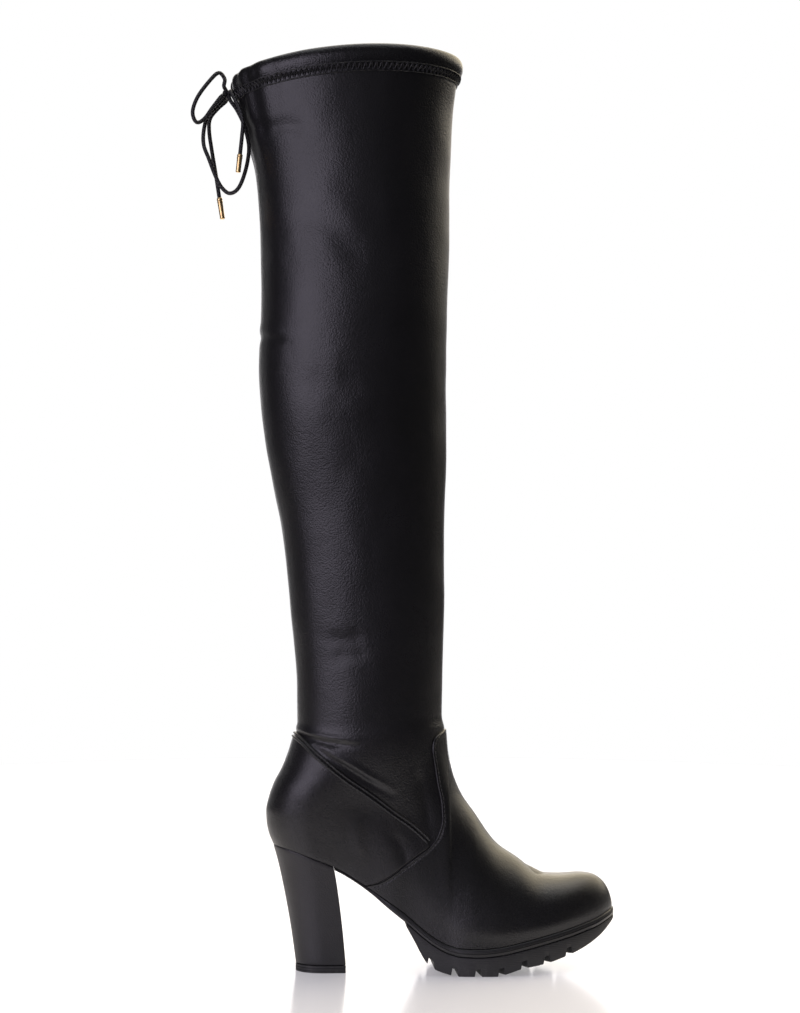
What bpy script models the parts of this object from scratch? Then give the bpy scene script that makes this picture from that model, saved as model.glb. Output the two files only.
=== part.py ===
"""Thigh high boot for the right foot: platform sole, covered block heel, drawstring collar.

Metres, +Z up, toe towards +X, outer side of the foot towards -Y.
The origin lies on the floor under the middle of the boot without its cord.
"""
import math
from collections import namedtuple

import bpy
import numpy as np
from mathutils import Vector

# Driving sizes of the last
HEEL_BACK_X = -0.1079       # rearmost point of the bare upper's heel
FOOT_LENGTH = 0.2396        # heel bulge to toe tip, bare upper
BALL_WIDTH = 0.080          # across the feather line at the ball
HEEL_HEIGHT = 0.0870        # feather line above the floor at the back of the heel
PLATFORM_HEIGHT = 0.0186    # feather line above the floor at the ball
TOE_SPRING = 0.0225         # rise of the feather line from ball to toe tip
INSTEP_RISE = 0.1435        # vamp ridge above the last's bottom where the shaft begins
HEEL_ROUND = 0.030          # length of the rounding at the back of the heel
TOE_ROUND = 0.050           # the same at the toe
ARCH_TILT = 0.0022          # the waist stands this much higher on the inner side
INSTEP_LEAN = 0.0025        # the ridge of the instep leans this far to the inner side

# Driving sizes of the shaft
ANKLE_BACK_HEIGHT = 0.160
COLLAR_FRONT_HEIGHT = 0.6345
COLLAR_BACK_HEIGHT = 0.6210
COLLAR_ARCH = 0.0050        # the collar stands this much higher at its sides
SHAFT_AXIS_X = -0.0490
CALF_DEPTH = 0.131
CALF_WIDTH = 0.100

# Walls and clearances
WALL = 0.0018
GAP = 0.0003
COVER_GAP = 0.0004          # between the upper and what is lapped over it
SEAT_GAP = 0.0007           # between the feather line and the sole or heel under it
SOLE_GAP = 0.0004           # between midsole and outsole
SHANK_SETBACK = 0.0010      # between the heel's front and the thin end of the midsole
COVER = 0.0009              # thickness of the vamp and the quarter
SEAM_REACH = 0.0056         # width of the ankle seam, measured along the foot
SEAM_HEIGHT = 0.0016
SEAM_START_LEVEL = 0.468    # the ankle seam begins this share of the way to the ankle

# Sole, heel and insole
INSOLE_THICKNESS = 0.0030
INSOLE_CLEARANCE = 0.0012
MIDSOLE_THICKNESS = 0.0054
SHANK_THICKNESS = 0.0018    # the midsole's thin rear end under the waist
SOLE_OVERHANG = 0.0022      # sole edge beyond the bare upper's feather line
LUG_DEPTH = 0.0050
GROOVE_LIMIT = 0.55         # a groove takes no more than this share of the outsole
LUG_PITCH = 0.0158
LUG_GROOVE = 0.0046         # groove width at the ground
LUG_TAPER = 0.0008          # each groove wall leans in by this much
LUG_COUNT = 7
LUG_CHEVRON = -0.0060       # the front grooves point back by this much in the middle
CHEVRON_START = 0.024       # behind this the grooves run straight across
FIRST_GROOVE_X = 0.0026
OUTSOLE_REAR_X = -0.0140
HEEL_BREAST_X = -0.0630     # front of the heel where it meets the waist
HEEL_FOOT_BACK_X = -0.0882
HEEL_FOOT_BREAST_X = -0.0545
HEEL_FOOT_WIDTH = 0.0410
HEEL_FOOT_ROUND = 0.62      # share of the heel's foot that is rounded at its back
HEEL_OVERHANG = 0.0010
TOP_PIECE_THICKNESS = 0.0050
CASING_HEIGHT = 0.0140
CASING_THICKNESS = 0.0012
CASING_SWELL = 0.0016       # the drawstring's tunnel swells outwards by this much
CASING_SWELL_UP = 0.5       # share of the casing's height where it swells most
CASING_LINING_UP = 0.40     # the casing's inner edge, the same share

# Drawstring
KNOT_RADIUS = 0.0036
KNOT_UP = 0.28              # height of the knot, share of the casing's height
KNOT_SIDE = -0.0010         # the knot sits this far to the outer side
CORD_DIAMETER = 0.0028
CORD_STEP = 2.0             # points along a cord, in diameters
TIP_DIAMETER = 0.0040
TIP_LONG = 0.0150
TIP_SHORT = 0.0125

# Shares that round the last and the heel
TOE_TUCK = 0.035            # the section is narrower by this share at the feather line
HEEL_GROWTH = 0.30          # the heel widens upwards by this share
END_FULL = 2.2              # exponent of the outline's rounding at the back of the heel
HEEL_FOOT_FLAT = 0.04       # share of the rounding that is left flat at the heel's back

# Fineness of the facets
AROUND = 36
SOFT_STEPS = 160
ROUTE_STEPS = 24            # between two points of a cord's route
CUT_STEPS = 24              # halvings to find where a seam cuts a facet's edge
KNOT_RINGS = 6
ROUND_SIDES = 12            # of the knot and the tips
SNAP = 0.0001               # a cut this close to a corner goes through the corner
SHARES_ACROSS = (-1.0, -0.55, 0.0, 0.55, 1.0)
STATION_STEP = 0.0012       # the soles' stations lie at least this far apart
TIP_FLAT = 0.0004           # soles and heel end this far short of a sharp point

# One row for each station along the last, from the back of the heel to the toe tip.
# along: share of the foot length. half, centre: shares of half the ball width.
# seat: share of the heel's rise over the ball. spring: share of the toe spring.
# ridge: top of the section over its bottom, share of the instep's rise, and
# behind the instep the top that the section would have without a shaft.
# full: exponent of the section's rounding.
FootRow = namedtuple("FootRow", "along half centre seat spring ridge full")
FOOT = (
    FootRow(0.000, 0.62, 0.000, 1.010, 0.00, 3.570, 2.0),
    FootRow(0.071, 0.65, 0.000, 0.952, 0.00, 3.130, 2.0),
    FootRow(0.120, 0.66, 0.000, 0.888, 0.00, 2.900, 2.0),
    FootRow(0.190, 0.66, 0.000, 0.790, 0.00, 2.500, 2.0),
    FootRow(0.281, 0.64, -0.060, 0.610, 0.00, 2.033, 2.0),
    FootRow(0.376, 0.67, -0.115, 0.395, 0.00, 1.600, 2.0),
    FootRow(0.471, 0.77, -0.120, 0.128, 0.00, 1.155, 1.9),
    FootRow(0.513, 0.83, -0.110, 0.045, 0.00, 1.000, 1.9),
    FootRow(0.519, 0.84, -0.108, 0.038, 0.00, 0.888, 1.9),
    FootRow(0.546, 0.89, -0.098, 0.012, 0.00, 0.735, 1.9),
    FootRow(0.598, 0.96, -0.070, 0.000, 0.00, 0.605, 1.9),
    FootRow(0.660, 1.00, -0.030, 0.000, 0.06, 0.455, 2.0),
    FootRow(0.722, 0.985, 0.000, 0.000, 0.19, 0.360, 2.1),
    FootRow(0.785, 0.925, 0.020, 0.000, 0.34, 0.262, 2.3),
    FootRow(0.850, 0.81, 0.035, 0.000, 0.50, 0.226, 2.5),
    FootRow(0.915, 0.63, 0.055, 0.000, 0.68, 0.202, 2.6),
    FootRow(0.948, 0.50, 0.062, 0.000, 0.78, 0.178, 2.6),
    FootRow(0.972, 0.365, 0.068, 0.000, 0.88, 0.137, 2.5),
    FootRow(0.987, 0.245, 0.072, 0.000, 0.94, 0.091, 2.4),
    FootRow(0.997, 0.115, 0.075, 0.000, 0.985, 0.032, 2.3),
    FootRow(1.000, 0.000, 0.075, 0.000, 1.00, 0.000, 2.2),
)

# One row for each ring of the shaft, from the ankle to the collar.
# up: share of the way to the collar. front, back: reach from the shaft's axis, shares
# of the calf depth. half, lean: shares of half the calf width. full: exponent.
ShaftRow = namedtuple("ShaftRow", "up front back half lean full")
SHAFT = (
    ShaftRow(0.000, 0.492, 0.308, 0.71, 0.00, 2.15),
    ShaftRow(0.020, 0.477, 0.293, 0.70, 0.00, 2.15),
    ShaftRow(0.080, 0.479, 0.296, 0.70, 0.00, 2.15),
    ShaftRow(0.200, 0.490, 0.334, 0.74, 0.01, 2.15),
    ShaftRow(0.320, 0.492, 0.384, 0.80, 0.02, 2.15),
    ShaftRow(0.380, 0.498, 0.428, 0.85, 0.03, 2.15),
    ShaftRow(0.440, 0.501, 0.468, 0.90, 0.03, 2.15),
    ShaftRow(0.500, 0.501, 0.494, 0.94, 0.02, 2.15),
    ShaftRow(0.560, 0.504, 0.504, 0.97, 0.01, 2.15),
    ShaftRow(0.680, 0.512, 0.492, 1.00, 0.00, 2.15),
    ShaftRow(0.800, 0.517, 0.506, 1.00, 0.00, 2.15),
    ShaftRow(0.860, 0.526, 0.528, 1.01, 0.00, 2.15),
    ShaftRow(0.920, 0.538, 0.588, 1.03, 0.00, 2.15),
    ShaftRow(0.970, 0.562, 0.626, 1.05, 0.00, 2.15),
    ShaftRow(1.000, 0.576, 0.640, 1.06, 0.00, 2.15),
)

# Back of the heel between feather line and ankle: up is the share of the way,
# back the share of the heel bulge that stands behind the ankle.
BackRow = namedtuple("BackRow", "up back")
HEEL_CURVE = (
    BackRow(0.00, 0.74), BackRow(0.10, 0.90), BackRow(0.20, 0.98), BackRow(0.30, 1.00),
    BackRow(0.43, 0.90), BackRow(0.57, 0.71), BackRow(0.70, 0.44), BackRow(0.85, 0.19),
    BackRow(1.00, 0.00),
)

# Where the foot's rings cross the ridge, as shares of the foot length, toe to instep
RING_FRONTS = (1.0, 0.9965, 0.986, 0.966, 0.938, 0.895, 0.845, 0.790, 0.735, 0.680, 0.630,
               0.583, 0.548, 0.528, 0.519, 0.5155, 0.513)
# Where the shaft's rings lie, as shares of the way from ankle to collar
RING_UPS = (0.020, 0.070, 0.150, 0.230, 0.310, 0.390, 0.470, 0.560, 0.680, 0.790, 0.860, 0.915)
CASING_UP = 1.0 - CASING_HEIGHT / (COLLAR_FRONT_HEIGHT - ANKLE_BACK_HEIGHT)

# Rear edge of the vamp. level: share of the way from the feather line to the ankle
# ring. along: place as a share of the foot length.
SeamRow = namedtuple("SeamRow", "level along")
VAMP_EDGE = (
    SeamRow(0.000, 0.279), SeamRow(0.066, 0.313), SeamRow(0.156, 0.349), SeamRow(0.259, 0.388),
    SeamRow(0.358, 0.428), SeamRow(0.426, 0.459), SeamRow(0.500, 0.484), SeamRow(0.580, 0.495),
    SeamRow(0.646, 0.493), SeamRow(0.738, 0.483), SeamRow(0.832, 0.475), SeamRow(0.908, 0.469),
    SeamRow(0.955, 0.473), SeamRow(0.982, 0.489), SeamRow(1.000, 0.513),
)
# Ankle seam, from the vamp up to the back of the ankle: same columns
ANKLE_EDGE = (
    SeamRow(0.425, 0.468), SeamRow(0.445, 0.447), SeamRow(0.490, 0.399), SeamRow(0.525, 0.349),
    SeamRow(0.577, 0.298), SeamRow(0.621, 0.258), SeamRow(0.681, 0.207), SeamRow(0.817, 0.136),
    SeamRow(0.900, 0.103), SeamRow(0.950, 0.087), SeamRow(0.985, 0.073), SeamRow(1.040, 0.050),
    SeamRow(1.130, 0.010),
)

# Underside of the forefoot: place as a share of the foot length, height as a share
# of the platform's height
TreadRow = namedtuple("TreadRow", "along height")
TREAD = (
    TreadRow(0.360, 2.34), TreadRow(0.380, 2.10), TreadRow(0.402, 1.64), TreadRow(0.424, 1.12),
    TreadRow(0.446, 0.58), TreadRow(0.456, 0.42), TreadRow(0.478, 0.22), TreadRow(0.500, 0.11),
    TreadRow(0.535, 0.00), TreadRow(0.646, 0.00), TreadRow(0.680, 0.10), TreadRow(0.716, 0.24),
    TreadRow(0.782, 0.39), TreadRow(0.849, 0.63), TreadRow(0.906, 0.91), TreadRow(0.958, 1.29),
    TreadRow(0.990, 1.62), TreadRow(1.010, 1.84),
)
# Thickness of the midsole: 0 is the thin shank, 1 the full band
BandRow = namedtuple("BandRow", "along full")
BAND = (BandRow(0.18, 0.0), BandRow(0.26, 0.05), BandRow(0.29, 0.20), BandRow(0.34, 0.75),
        BandRow(0.38, 1.0), BandRow(1.02, 1.0))
# Heel block between its foot and its seat: up is the share of the way, spread the
# share of the difference between the two outlines
HeelRow = namedtuple("HeelRow", "up spread")
HEEL_BLOCK = (HeelRow(0.0, 0.0), HeelRow(0.30, 0.22), HeelRow(0.62, 0.52),
              HeelRow(0.85, 0.78), HeelRow(1.0, 1.0))

# The bow: points chosen by hand, in metres from the middle of the knot. The first, and
# a loop's last, give only the direction in which the cord leaves the knot.
LOOP_A = (
    (-0.0020, -0.0030, 0.0038), (-0.0020, -0.0050, 0.0095), (-0.0060, -0.0070, 0.0133),
    (-0.0120, -0.0090, 0.0075), (-0.0205, -0.0115, -0.0050), (-0.0240, -0.0125, -0.0160),
    (-0.0213, -0.0115, -0.0230), (-0.0160, -0.0095, -0.0200), (-0.0103, -0.0075, -0.0115),
    (-0.0032, -0.0032, -0.0020),
)
LOOP_B = (
    (-0.0029, 0.0004, -0.0036), (-0.0088, -0.0008, -0.0105), (-0.0140, -0.0030, -0.0170),
    (-0.0165, -0.0050, -0.0280), (-0.0163, -0.0065, -0.0380), (-0.0128, -0.0078, -0.0475),
    (-0.0080, -0.0085, -0.0600), (-0.0037, -0.0090, -0.0680), (0.0020, -0.0110, -0.0725),
    (0.0082, -0.0140, -0.0690), (0.0130, -0.0170, -0.0570), (0.0152, -0.0180, -0.0430),
    (0.0136, -0.0175, -0.0320), (0.0108, -0.0160, -0.0230), (0.0065, -0.0115, -0.0135),
    (0.0026, -0.0068, -0.0070), (0.0012, -0.0032, -0.0034),
)
TAIL_A = (
    (-0.0009, 0.0036, -0.0028), (-0.0067, 0.0052, -0.0090), (-0.0122, 0.0044, -0.0165),
    (-0.0128, 0.0025, -0.0260), (-0.0108, 0.0010, -0.0404), (-0.0080, -0.0010, -0.0572),
    (-0.0054, -0.0020, -0.0740),
)
TAIL_B = (
    (0.0019, -0.0044, 0.0006), (0.0032, -0.0103, -0.0022), (0.0058, -0.0156, -0.0085),
    (0.0091, -0.0200, -0.0165), (0.0110, -0.0225, -0.0250), (0.0103, -0.0230, -0.0355),
    (0.0091, -0.0230, -0.0475),
)


def curve_at(rows, column, at):
    """Smooth value of a column at a place given in the rows' first column."""
    xs = [row[0] for row in rows]
    ys = [getattr(row, column) for row in rows]
    at = min(max(at, xs[0]), xs[-1])
    k = max(i for i in range(len(xs) - 1) if xs[i] <= at)
    step = [(ys[i + 1] - ys[i]) / (xs[i + 1] - xs[i]) for i in range(len(xs) - 1)]

    def slope(i):
        if i == 0 or i == len(xs) - 1:
            return step[0] if i == 0 else step[-1]
        if step[i - 1] * step[i] <= 0.0:
            return 0.0
        before = xs[i] - xs[i - 1]
        after = xs[i + 1] - xs[i]
        weight = 3.0 * (before + after)
        return weight / ((2 * after + before) / step[i - 1] + (after + 2 * before) / step[i])

    width = xs[k + 1] - xs[k]
    t = (at - xs[k]) / width
    return (ys[k] * (2 * t ** 3 - 3 * t ** 2 + 1) + slope(k) * width * (t ** 3 - 2 * t ** 2 + t)
            + ys[k + 1] * (3 * t ** 2 - 2 * t ** 3) + slope(k + 1) * width * (t ** 3 - t ** 2))


def smooth_step(low, high, value):
    t = min(max((value - low) / (high - low), 0.0), 1.0)
    return t * t * (3.0 - 2.0 * t)


def dome(share, power=2.0):
    """Rounding that rises from 0 to 1 as share goes from 0 to 1."""
    share = min(max(share, 0.0), 1.0)
    return max(1.0 - (1.0 - share) ** power, 0.0) ** (1.0 / power)


# The last

def along(x):
    return (x - HEEL_BACK_X) / FOOT_LENGTH


def bottom_height(x):
    """Height of the last's bottom edge, the feather line."""
    a = along(x)
    return (PLATFORM_HEIGHT + (HEEL_HEIGHT - PLATFORM_HEIGHT) * curve_at(FOOT, "seat", a)
            + TOE_SPRING * curve_at(FOOT, "spring", a))


def ridge_rise(x):
    return INSTEP_RISE * curve_at(FOOT, "ridge", along(x))


def arch_lift(x, side):
    """Tilt of the waist: side runs from -1 at the outer edge to 1 at the inner edge."""
    a = along(x)
    return ARCH_TILT * side * smooth_step(0.20, 0.36, a) * (1.0 - smooth_step(0.42, 0.60, a))


ANKLE_FRONT_X = HEEL_BACK_X + RING_FRONTS[-1] * FOOT_LENGTH
ANKLE_FRONT_HEIGHT = bottom_height(ANKLE_FRONT_X) + INSTEP_RISE
ANKLE_BACK_X = SHAFT_AXIS_X - SHAFT[0].back * CALF_DEPTH
SEAT_BACK_HEIGHT = bottom_height(HEEL_BACK_X)


def ankle_line(x):
    """Height of the ankle ring's plane, carried on over the forefoot."""
    slope = (ANKLE_FRONT_HEIGHT - ANKLE_BACK_HEIGHT) / (ANKLE_FRONT_X - ANKLE_BACK_X)
    return ANKLE_BACK_HEIGHT + slope * (x - ANKLE_BACK_X)


def ring_level(front_x):
    """Share of the way from the feather line (0) to the ankle ring (1)."""
    floor = bottom_height(front_x)
    return ridge_rise(front_x) / (ankle_line(front_x) - floor)


def ring_back_x(level):
    bulge = ANKLE_BACK_X - HEEL_BACK_X
    return ANKLE_BACK_X - bulge * curve_at(HEEL_CURVE, "back", level)


def shaft_half(share, row_half, full):
    """Half width of a shaft ring at a share of the way from its back to its front."""
    return row_half * max(1.0 - abs(2.0 * share - 1.0) ** full, 0.0) ** (1.0 / full)


def foot_half(x, level, height, back_x):
    """Half width of the foot at one place of a ring."""
    a = along(x)
    rise = max((height - bottom_height(x)) / max(ridge_rise(x), 1e-6), 0.0)
    full = curve_at(FOOT, "full", a)
    section = max(1.0 - min(rise, 1.0) ** full, 0.0) ** (1.0 / full)
    tuck = 1.0 - TOE_TUCK * (1.0 - smooth_step(0.0, 0.16, rise))
    heel_growth = 1.0 + HEEL_GROWTH * level ** 0.8 * (1.0 - smooth_step(0.15, 0.52, a))
    heel_end = dome((x - back_x) / HEEL_ROUND, END_FULL)
    half = 0.5 * BALL_WIDTH * curve_at(FOOT, "half", a)
    return half * section * tuck * heel_growth * heel_end


def foot_ring(front_x, side, steps):
    """Points of one half ring of the foot, back to front. side is -1 outer, 1 inner."""
    level = ring_level(front_x) if front_x < HEEL_BACK_X + FOOT_LENGTH else 0.0
    back_x = ring_back_x(level)
    mix = smooth_step(0.45, 1.0, level)
    points = []
    for i in range(steps + 1):
        share = 0.5 - 0.5 * math.cos(math.pi * i / steps)
        x = back_x + share * (front_x - back_x)
        floor = bottom_height(x)
        height = floor + level * (ankle_line(x) - floor)
        ankle_half = shaft_half(share, 0.5 * CALF_WIDTH * SHAFT[0].half, SHAFT[0].full)
        half = (1.0 - mix) * foot_half(x, level, height, back_x) + mix * ankle_half
        if i in (0, steps):
            half = 0.0
        centre = 0.5 * BALL_WIDTH * curve_at(FOOT, "centre", along(x)) * (1.0 - level)
        lean = INSTEP_LEAN * math.sin(math.pi * min(level / 0.9, 1.0)) * smooth_step(0.3, 0.6, along(x))
        lift = (1.0 - level) * arch_lift(x, side * half / (0.5 * BALL_WIDTH))
        points.append((x, centre + lean + side * half, height + lift))
    return np.array(points)


def shaft_ring(up, side, steps):
    """Points of one half ring of the shaft, back to front."""
    front_x = SHAFT_AXIS_X + CALF_DEPTH * curve_at(SHAFT, "front", up)
    back_x = SHAFT_AXIS_X - CALF_DEPTH * curve_at(SHAFT, "back", up)
    row_half = 0.5 * CALF_WIDTH * curve_at(SHAFT, "half", up)
    full = curve_at(SHAFT, "full", up)
    lean = 0.5 * CALF_WIDTH * curve_at(SHAFT, "lean", up)
    front_z = ANKLE_FRONT_HEIGHT + up * (COLLAR_FRONT_HEIGHT - ANKLE_FRONT_HEIGHT)
    back_z = ANKLE_BACK_HEIGHT + up * (COLLAR_BACK_HEIGHT - ANKLE_BACK_HEIGHT)
    points = []
    for i in range(steps + 1):
        share = 0.5 - 0.5 * math.cos(math.pi * i / steps)
        arch = COLLAR_ARCH * up ** 8 * math.sin(math.pi * share)
        points.append((back_x + share * (front_x - back_x),
                       lean + side * shaft_half(share, row_half, full),
                       back_z + share * (front_z - back_z) + arch))
    return np.array(points)


def even_spread(points, count):
    """The same line with points spread by length and by turning."""
    steps = np.diff(points, axis=0)
    length = np.linalg.norm(steps, axis=1)
    heading = steps / np.maximum(length[:, None], 1e-9)
    turn = np.arccos(np.clip(np.sum(heading[1:] * heading[:-1], axis=1), -1.0, 1.0))
    turn = np.concatenate(([0.5 * math.pi - 0.5 * turn.sum()], turn))
    weight = length + HEEL_ROUND * np.clip(turn, 0.0, 0.2)
    place = np.concatenate(([0.0], np.cumsum(weight)))
    wanted = np.linspace(0.0, place[-1], count + 1)
    return np.stack([np.interp(wanted, place, points[:, k]) for k in range(3)], axis=1)


def closed_ring(half_ring, where):
    """Whole ring from the back along the outer side to the front and back again."""
    outer = even_spread(half_ring(where, -1, SOFT_STEPS), AROUND // 2)
    inner = even_spread(half_ring(where, 1, SOFT_STEPS), AROUND // 2)
    return np.concatenate((outer[:-1], inner[::-1][:-1]))


def rim_line(side):
    """Lower edge of the upper on one side, back to front."""
    return even_spread(foot_ring(HEEL_BACK_X + FOOT_LENGTH, side, SOFT_STEPS), AROUND // 2)


RIMS = {side: rim_line(side) for side in (-1, 1)}


def rim_height(x, side):
    return float(np.interp(x, RIMS[side][:, 0], RIMS[side][:, 2]))


def at_rim(point, column):
    """The point moved up or down to the height of the upper's lower edge."""
    side = -1 if column % AROUND <= AROUND // 2 else 1
    return np.array((point[0], point[1], rim_height(point[0], side)))


def upper_grid():
    rings = [closed_ring(foot_ring, HEEL_BACK_X + a * FOOT_LENGTH) for a in RING_FRONTS]
    rings += [closed_ring(shaft_ring, up) for up in RING_UPS + (CASING_UP, 1.0)]
    return np.array(rings)


def grid_normals(grid):
    """Outward normals of a grid of closed rings."""
    around = np.roll(grid, -1, axis=1) - np.roll(grid, 1, axis=1)
    upward = np.gradient(grid, axis=0)
    normals = np.cross(around, upward)
    normals[0, :, 2] = 0.0
    normals[-1, :, 2] = 0.0
    return normals / np.maximum(np.linalg.norm(normals, axis=2, keepdims=True), 1e-12)


# Meshes

def clear_scene():
    for item in list(bpy.data.objects):
        bpy.data.objects.remove(item, do_unlink=True)


def material(name, colour, roughness, metallic=0.0):
    made = bpy.data.materials.new(name)
    made.use_nodes = True
    shader = made.node_tree.nodes["Principled BSDF"]
    shader.inputs["Base Color"].default_value = (*colour, 1.0)
    shader.inputs["Roughness"].default_value = roughness
    shader.inputs["Metallic"].default_value = metallic
    return made


def add_solid(name, points, faces, look):
    mesh = bpy.data.meshes.new(name)
    mesh.from_pydata([tuple(point) for point in points], [], faces)
    mesh.validate()
    mesh.shade_smooth()
    mesh.set_sharp_from_angle(angle=math.radians(35))
    mesh.materials.append(look)
    made = bpy.data.objects.new(name, mesh)
    bpy.context.scene.collection.objects.link(made)
    return made


def tube_of_rings(rings):
    """Faces of a torus-like solid: rings of equal length, the last joined to the first."""
    count = len(rings[0])
    faces = []
    for r in range(len(rings)):
        after = (r + 1) % len(rings)
        for i in range(count):
            j = (i + 1) % count
            a, b = r * count + i, r * count + j
            c, d = after * count + j, after * count + i
            faces += [(a, b, c), (a, c, d)]
    return faces


def make_upper(grid, normals, look):
    inner = grid - WALL * normals
    inner[0] = [at_rim(point, column) for column, point in enumerate(inner[0])]
    inner[-1, :, 2] = grid[-1, :, 2]
    rings = list(grid) + list(inner[::-1])
    return add_solid("upper", np.concatenate(rings), tube_of_rings(rings), look)


def grid_point(grid, row, column):
    """Point of the grid at a row and column that may be fractions."""
    low = math.floor(column)
    share = column - low
    under = int(math.floor(row))
    over = min(under + 1, len(grid) - 1)
    ends = []
    for line in (grid[under], grid[over]):
        ends.append((1.0 - share) * line[low % AROUND] + share * line[(low + 1) % AROUND])
    return ends[0] + (row - under) * (ends[1] - ends[0])


def row_levels():
    """Level of each ring that a seam can cross: 1 at the ankle, more over it."""
    levels = [0.0] + [ring_level(HEEL_BACK_X + a * FOOT_LENGTH) for a in RING_FRONTS[1:]]
    shaft = (COLLAR_BACK_HEIGHT - ANKLE_BACK_HEIGHT) / (ANKLE_BACK_HEIGHT - SEAT_BACK_HEIGHT)
    return levels + [1.0 + up * shaft for up in RING_UPS[:2]]


def clip_cell(cell, field):
    """The part of a polygon of row and column places where the field is positive."""
    values = []
    for place in cell:
        value = field(*place)
        values.append(0.0 if abs(value) < SNAP else value)
    kept = []
    for i, place in enumerate(cell):
        j = (i + 1) % len(cell)
        if values[i] >= 0.0:
            kept.append(place)
        if values[i] * values[j] < 0.0:
            low, high = (cell[i], cell[j]) if values[i] < 0.0 else (cell[j], cell[i])
            for _ in range(CUT_STEPS):
                middle = (0.5 * (low[0] + high[0]), 0.5 * (low[1] + high[1]))
                low, high = (middle, high) if field(*middle) < 0.0 else (low, middle)
            kept.append(high)
    return kept if any(v > 0.0 for v in values) else []


def clip_skin(grid, normals, fields, inside, outside):
    """Skin over the facets of the grid where every field is positive."""
    index, points, triangles = {}, [], []

    def vertex(place):
        key = (round(place[0], 5), round(place[1], 5) % AROUND)
        if key not in index:
            index[key] = len(points)
            base, out = grid_point(grid, *place), grid_point(normals, *place)
            pair = (base + inside * out, base + outside * out)
            points.append(tuple(at_rim(p, place[1]) for p in pair) if place[0] == 0 else pair)
        return index[key]

    for row in range(len(row_levels()) - 1):
        for column in range(AROUND):
            a, b = (row, column), (row, column + 1)
            c, d = (row + 1, column + 1), (row + 1, column)
            for cell in ([a, b, c], [a, c, d]):
                for field in fields:
                    cell = clip_cell(cell, field) if len(cell) > 2 else []
                corners = [vertex(place) for place in cell]
                for i in range(1, len(corners) - 1):
                    face = (corners[0], corners[i], corners[i + 1])
                    if len(set(face)) == 3:
                        triangles.append(face)
    return close_skin(points, triangles)


def close_skin(points, triangles):
    """Closed solid from pairs of inner and outer points and the outer triangles."""
    count = len(points)
    all_points = [pair[1] for pair in points] + [pair[0] for pair in points]
    faces = list(triangles) + [(count + a, count + c, count + b) for a, b, c in triangles]
    edges = set()
    for a, b, c in triangles:
        edges |= {(a, b), (b, c), (c, a)}
    for a, b in sorted(edges):
        if (b, a) not in edges:
            faces += [(b, a, count + a), (b, count + a, count + b)]
    return all_points, faces


def seam_field(grid, rows, shift, sign):
    """Distance along the foot from a seam, positive ahead of it where sign is 1."""
    levels = row_levels()

    def field(row, column):
        level = float(np.interp(row, range(len(levels)), levels))
        x = grid_point(grid, row, column)[0]
        seam_x = HEEL_BACK_X + FOOT_LENGTH * curve_at(rows, "along", level)
        return sign * (x - seam_x - shift)
    return field


def over_start(grid, low, sign):
    levels = row_levels()

    def field(row, column):
        return sign * FOOT_LENGTH * (float(np.interp(row, range(len(levels)), levels)) - low)
    return field


def make_vamp(grid, normals, look):
    top = over_start(grid, 1.0, -1)
    fields = (seam_field(grid, VAMP_EDGE, 0.0, 1), top)
    points, faces = clip_skin(grid, normals, fields, COVER_GAP, COVER_GAP + COVER)
    return add_solid("vamp", points, faces, look)


def make_quarter(grid, normals, look):
    fields = (seam_field(grid, VAMP_EDGE, -2.0 * COVER_GAP, -1),
              seam_field(grid, ANKLE_EDGE, 0.0, -1))
    points, faces = clip_skin(grid, normals, fields, COVER_GAP, COVER_GAP + COVER)
    return add_solid("heel_quarter", points, faces, look)


def make_ankle_seam(grid, normals, look):
    low = 4.0 * COVER_GAP
    fields = (seam_field(grid, ANKLE_EDGE, low, 1),
              seam_field(grid, ANKLE_EDGE, low + SEAM_REACH, -1),
              seam_field(grid, VAMP_EDGE, -4.0 * COVER_GAP, -1),
              over_start(grid, SEAM_START_LEVEL, 1))
    points, faces = clip_skin(grid, normals, fields, COVER_GAP, COVER_GAP + SEAM_HEIGHT)
    return add_solid("ankle_seam", points, faces, look)


def bar_of_rings(rings):
    """Closed bar through rings of equal length, with a fan at each end."""
    count = len(rings[0])
    faces = []
    for r in range(len(rings) - 1):
        for i in range(count):
            j = (i + 1) % count
            a, b = r * count + i, r * count + j
            c, d = a + count, b + count
            faces += [(a, d, b), (a, c, d)]
    last = (len(rings) - 1) * count
    for i in range(1, count - 1):
        faces += [(0, i, i + 1), (last, last + i + 1, last + i)]
    return [point for ring in rings for point in ring], faces


def make_casing(grid, normals, look):
    """Folded band over the collar: one section for each column of the grid."""
    section = (
        (GAP, 0.0), (GAP + CASING_THICKNESS, 0.0),
        (GAP + CASING_THICKNESS + CASING_SWELL, CASING_SWELL_UP),
        (GAP + CASING_THICKNESS, 0.92), (0.0, 1.0), (-WALL, 1.0),
        (-WALL - GAP - CASING_THICKNESS, 0.92),
        (-WALL - GAP - CASING_THICKNESS, CASING_LINING_UP),
        (-WALL - GAP, CASING_LINING_UP), (-WALL - GAP, None), (GAP, None),
    )
    low, top = grid[-2], grid[-1]
    rise = np.array((0.0, 0.0, GAP))
    crown = np.array((0.0, 0.0, GAP + CASING_THICKNESS))
    rings = []
    for offset, share in section:
        out = offset * (normals[-2] if share is not None and share < CASING_SWELL_UP else normals[-1])
        if share is None:
            rings.append(top + out + rise)
        elif share == 1.0:
            rings.append(top + out + crown)
        else:
            rings.append(low + share * (top - low) + out)
    return add_solid("collar_casing", np.concatenate(rings), tube_of_rings(rings), look)


# Sole, heel and insole

def sole_reach(overhang):
    back = ring_back_x(0.0)
    tip = HEEL_BACK_X + FOOT_LENGTH
    return back - overhang, tip + overhang


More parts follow.
